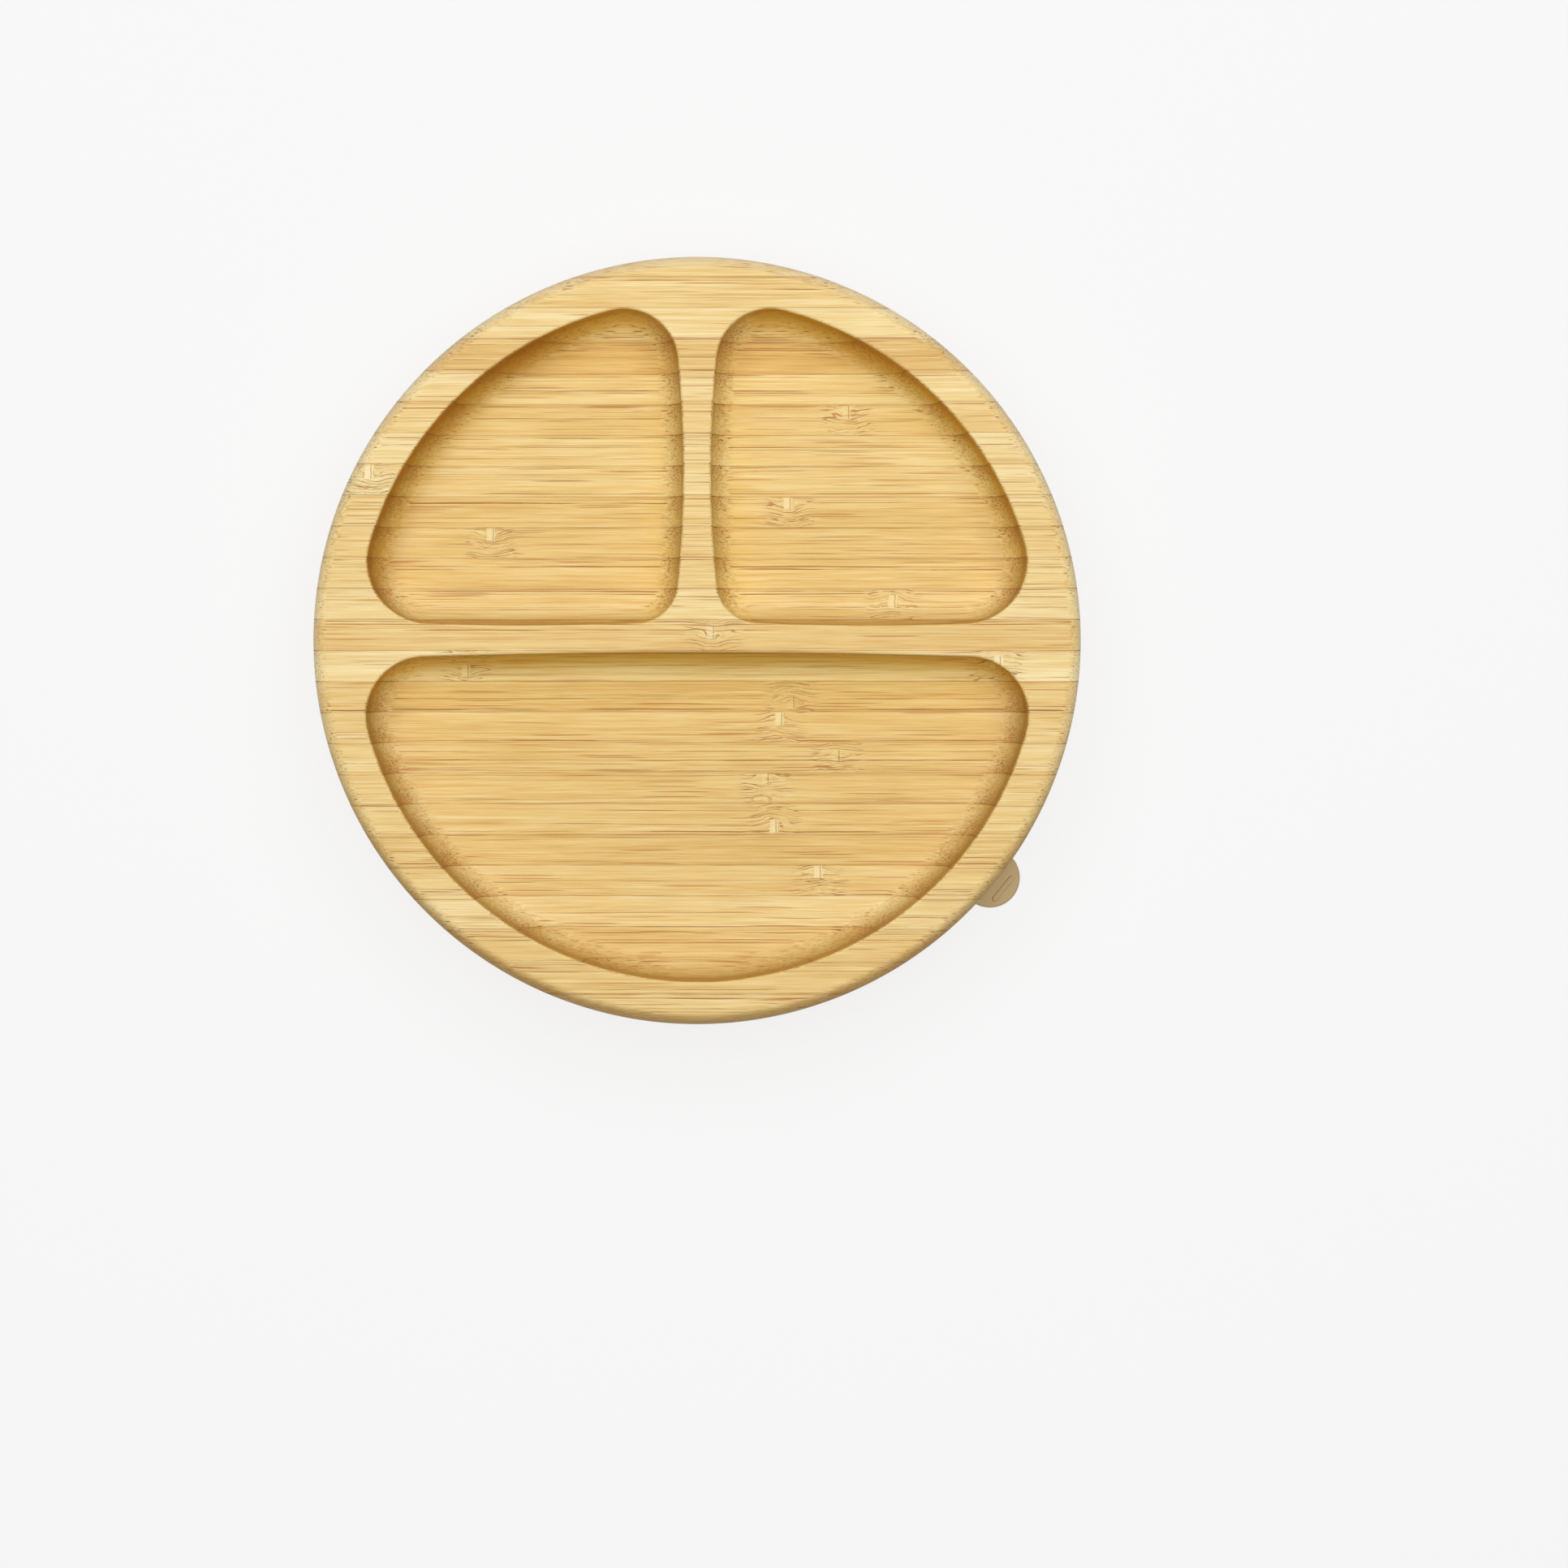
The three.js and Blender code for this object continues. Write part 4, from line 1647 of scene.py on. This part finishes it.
@dataclass
class Studio:
    """A pale table, one broad soft light above the far side and a camera above the plate."""

    aim: Point3 = (0.0, 0.0, 0.028)
    camera_distance: float = 0.75
    lens: float = 73.3
    plate_pixel: Point2 = (858.9, 789.2)
    pale: float = 0.939
    sky: float = 0.025
    floor_reach: float = 4.0
    floor_glow: float = 0.86
    key_place: Point3 = (0.0, 0.235, 1.03)
    key_size: float = 1.6
    key_power: float = 17.0
    under_place: Point3 = (-0.12, -0.18, -0.66)
    under_size: float = 0.9
    under_power: float = 4.0

    def build(self) -> None:
        """Sets the table, the light and the camera."""
        self._table()
        self._sky()
        self._lamp("key_light", self.key_place, self.key_size, self.key_power)
        self._lamp("under_light", self.under_place, self.under_size, self.under_power)
        self._camera()
        bpy.context.scene.view_settings.view_transform = "Standard"

    def _seen(self, board: ShaderBoard) -> Wire:
        """Whether a ray comes from the camera, or by way of gloss or glass."""
        path = board.add("ShaderNodeLightPath", output="Is Camera Ray")
        return path.most(path.output("Is Glossy Ray")).most(path.output("Is Transmission Ray"))

    def _table(self) -> None:
        """Lays the pale table, which lets light through from below and shows only from above."""
        mesh = bpy.data.meshes.new("table")
        reach = self.floor_reach
        sides = ((-1, -1), (1, -1), (1, 1), (-1, 1))
        corners = [(x * reach, y * reach, 0.0) for x, y in sides]
        mesh.from_pydata(corners, [], [(0, 1, 2, 3)])
        table = place_object(mesh)
        material, board = surface("pale_table")
        white = (self.pale, self.pale, self.pale, 1.0)
        matt = board.add("ShaderNodeBsdfDiffuse", None, {"Color": white})
        glow = board.add("ShaderNodeEmission", None, {"Color": white, "Strength": 1.0})
        shown = board.add("ShaderNodeMixShader", None, [self.floor_glow, matt, glow])
        top = board.add("ShaderNodeMixShader", None, [self._seen(board), matt, shown])
        clear = board.add("ShaderNodeBsdfTransparent")
        path = board.add("ShaderNodeLightPath", output="Is Shadow Ray")
        below = board.add("ShaderNodeNewGeometry", output="Backfacing").most(path)
        final = board.add("ShaderNodeMixShader", None, [below, top, clear])
        board.add("ShaderNodeOutputMaterial", None, {"Surface": final})
        mesh.materials.append(material)

    def _sky(self) -> None:
        """Lights the scene evenly from all round, behind a pale backdrop."""
        world = bpy.data.worlds.new("studio")
        world.use_nodes = True
        bpy.context.scene.world = world
        board = ShaderBoard(world.node_tree)
        white = (1.0, 1.0, 1.0, 1.0)
        light = board.add("ShaderNodeBackground", None, {"Color": white, "Strength": self.sky})
        shown = board.add("ShaderNodeBackground", None, {"Color": white, "Strength": self.pale})
        both = board.add("ShaderNodeMixShader", None, [self._seen(board), light, shown])
        board.add("ShaderNodeOutputWorld", None, {"Surface": both})

    def _lamp(self, name: str, place: Point3, size: float, power: float) -> None:
        """Hangs a round soft lamp that points at the plate.

        Args:
            name: The lamp's name.
            place: Where it hangs, in metres.
            size: Its diameter, in metres.
            power: Its power, in watts.
        """
        lamp = bpy.data.lights.new(name, "AREA")
        lamp.shape = "DISK"
        lamp.size = size
        lamp.energy = power
        holder = bpy.data.objects.new(name, lamp)
        holder.location = place
        sight = Vector(self.aim) - Vector(place)
        holder.rotation_euler = sight.to_track_quat("-Z", "Y").to_euler()
        bpy.context.scene.collection.objects.link(holder)

    def _camera(self) -> None:
        """Hangs the camera over the plate, with the plate where the photograph has it."""
        lens = bpy.data.cameras.new("camera")
        lens.lens = self.lens
        lens.shift_x = 0.5 - self.plate_pixel[0] / IMAGE_SIZE
        lens.shift_y = self.plate_pixel[1] / IMAGE_SIZE - 0.5
        camera = bpy.data.objects.new("camera", lens)
        camera.location = (self.aim[0], self.aim[1], self.aim[2] + self.camera_distance)
        bpy.context.scene.collection.objects.link(camera)
        bpy.context.scene.camera = camera


def main() -> None:
    """Builds the plate, its foot and its suction moulding, and lights them."""
    logging.basicConfig(level=logging.INFO, format="%(name)s %(message)s")
    Studio().build()
    plate = CarvedPlate.from_frame()
    plate.dress(plate.build())
    lathe = TurnedPiece()
    foot = FootDisc.from_frame()
    foot.dress(foot.build(lathe))
    moulding = SuctionMoulding()
    moulding.dress(moulding.build(lathe))


if __name__ == "__main__":
    main()
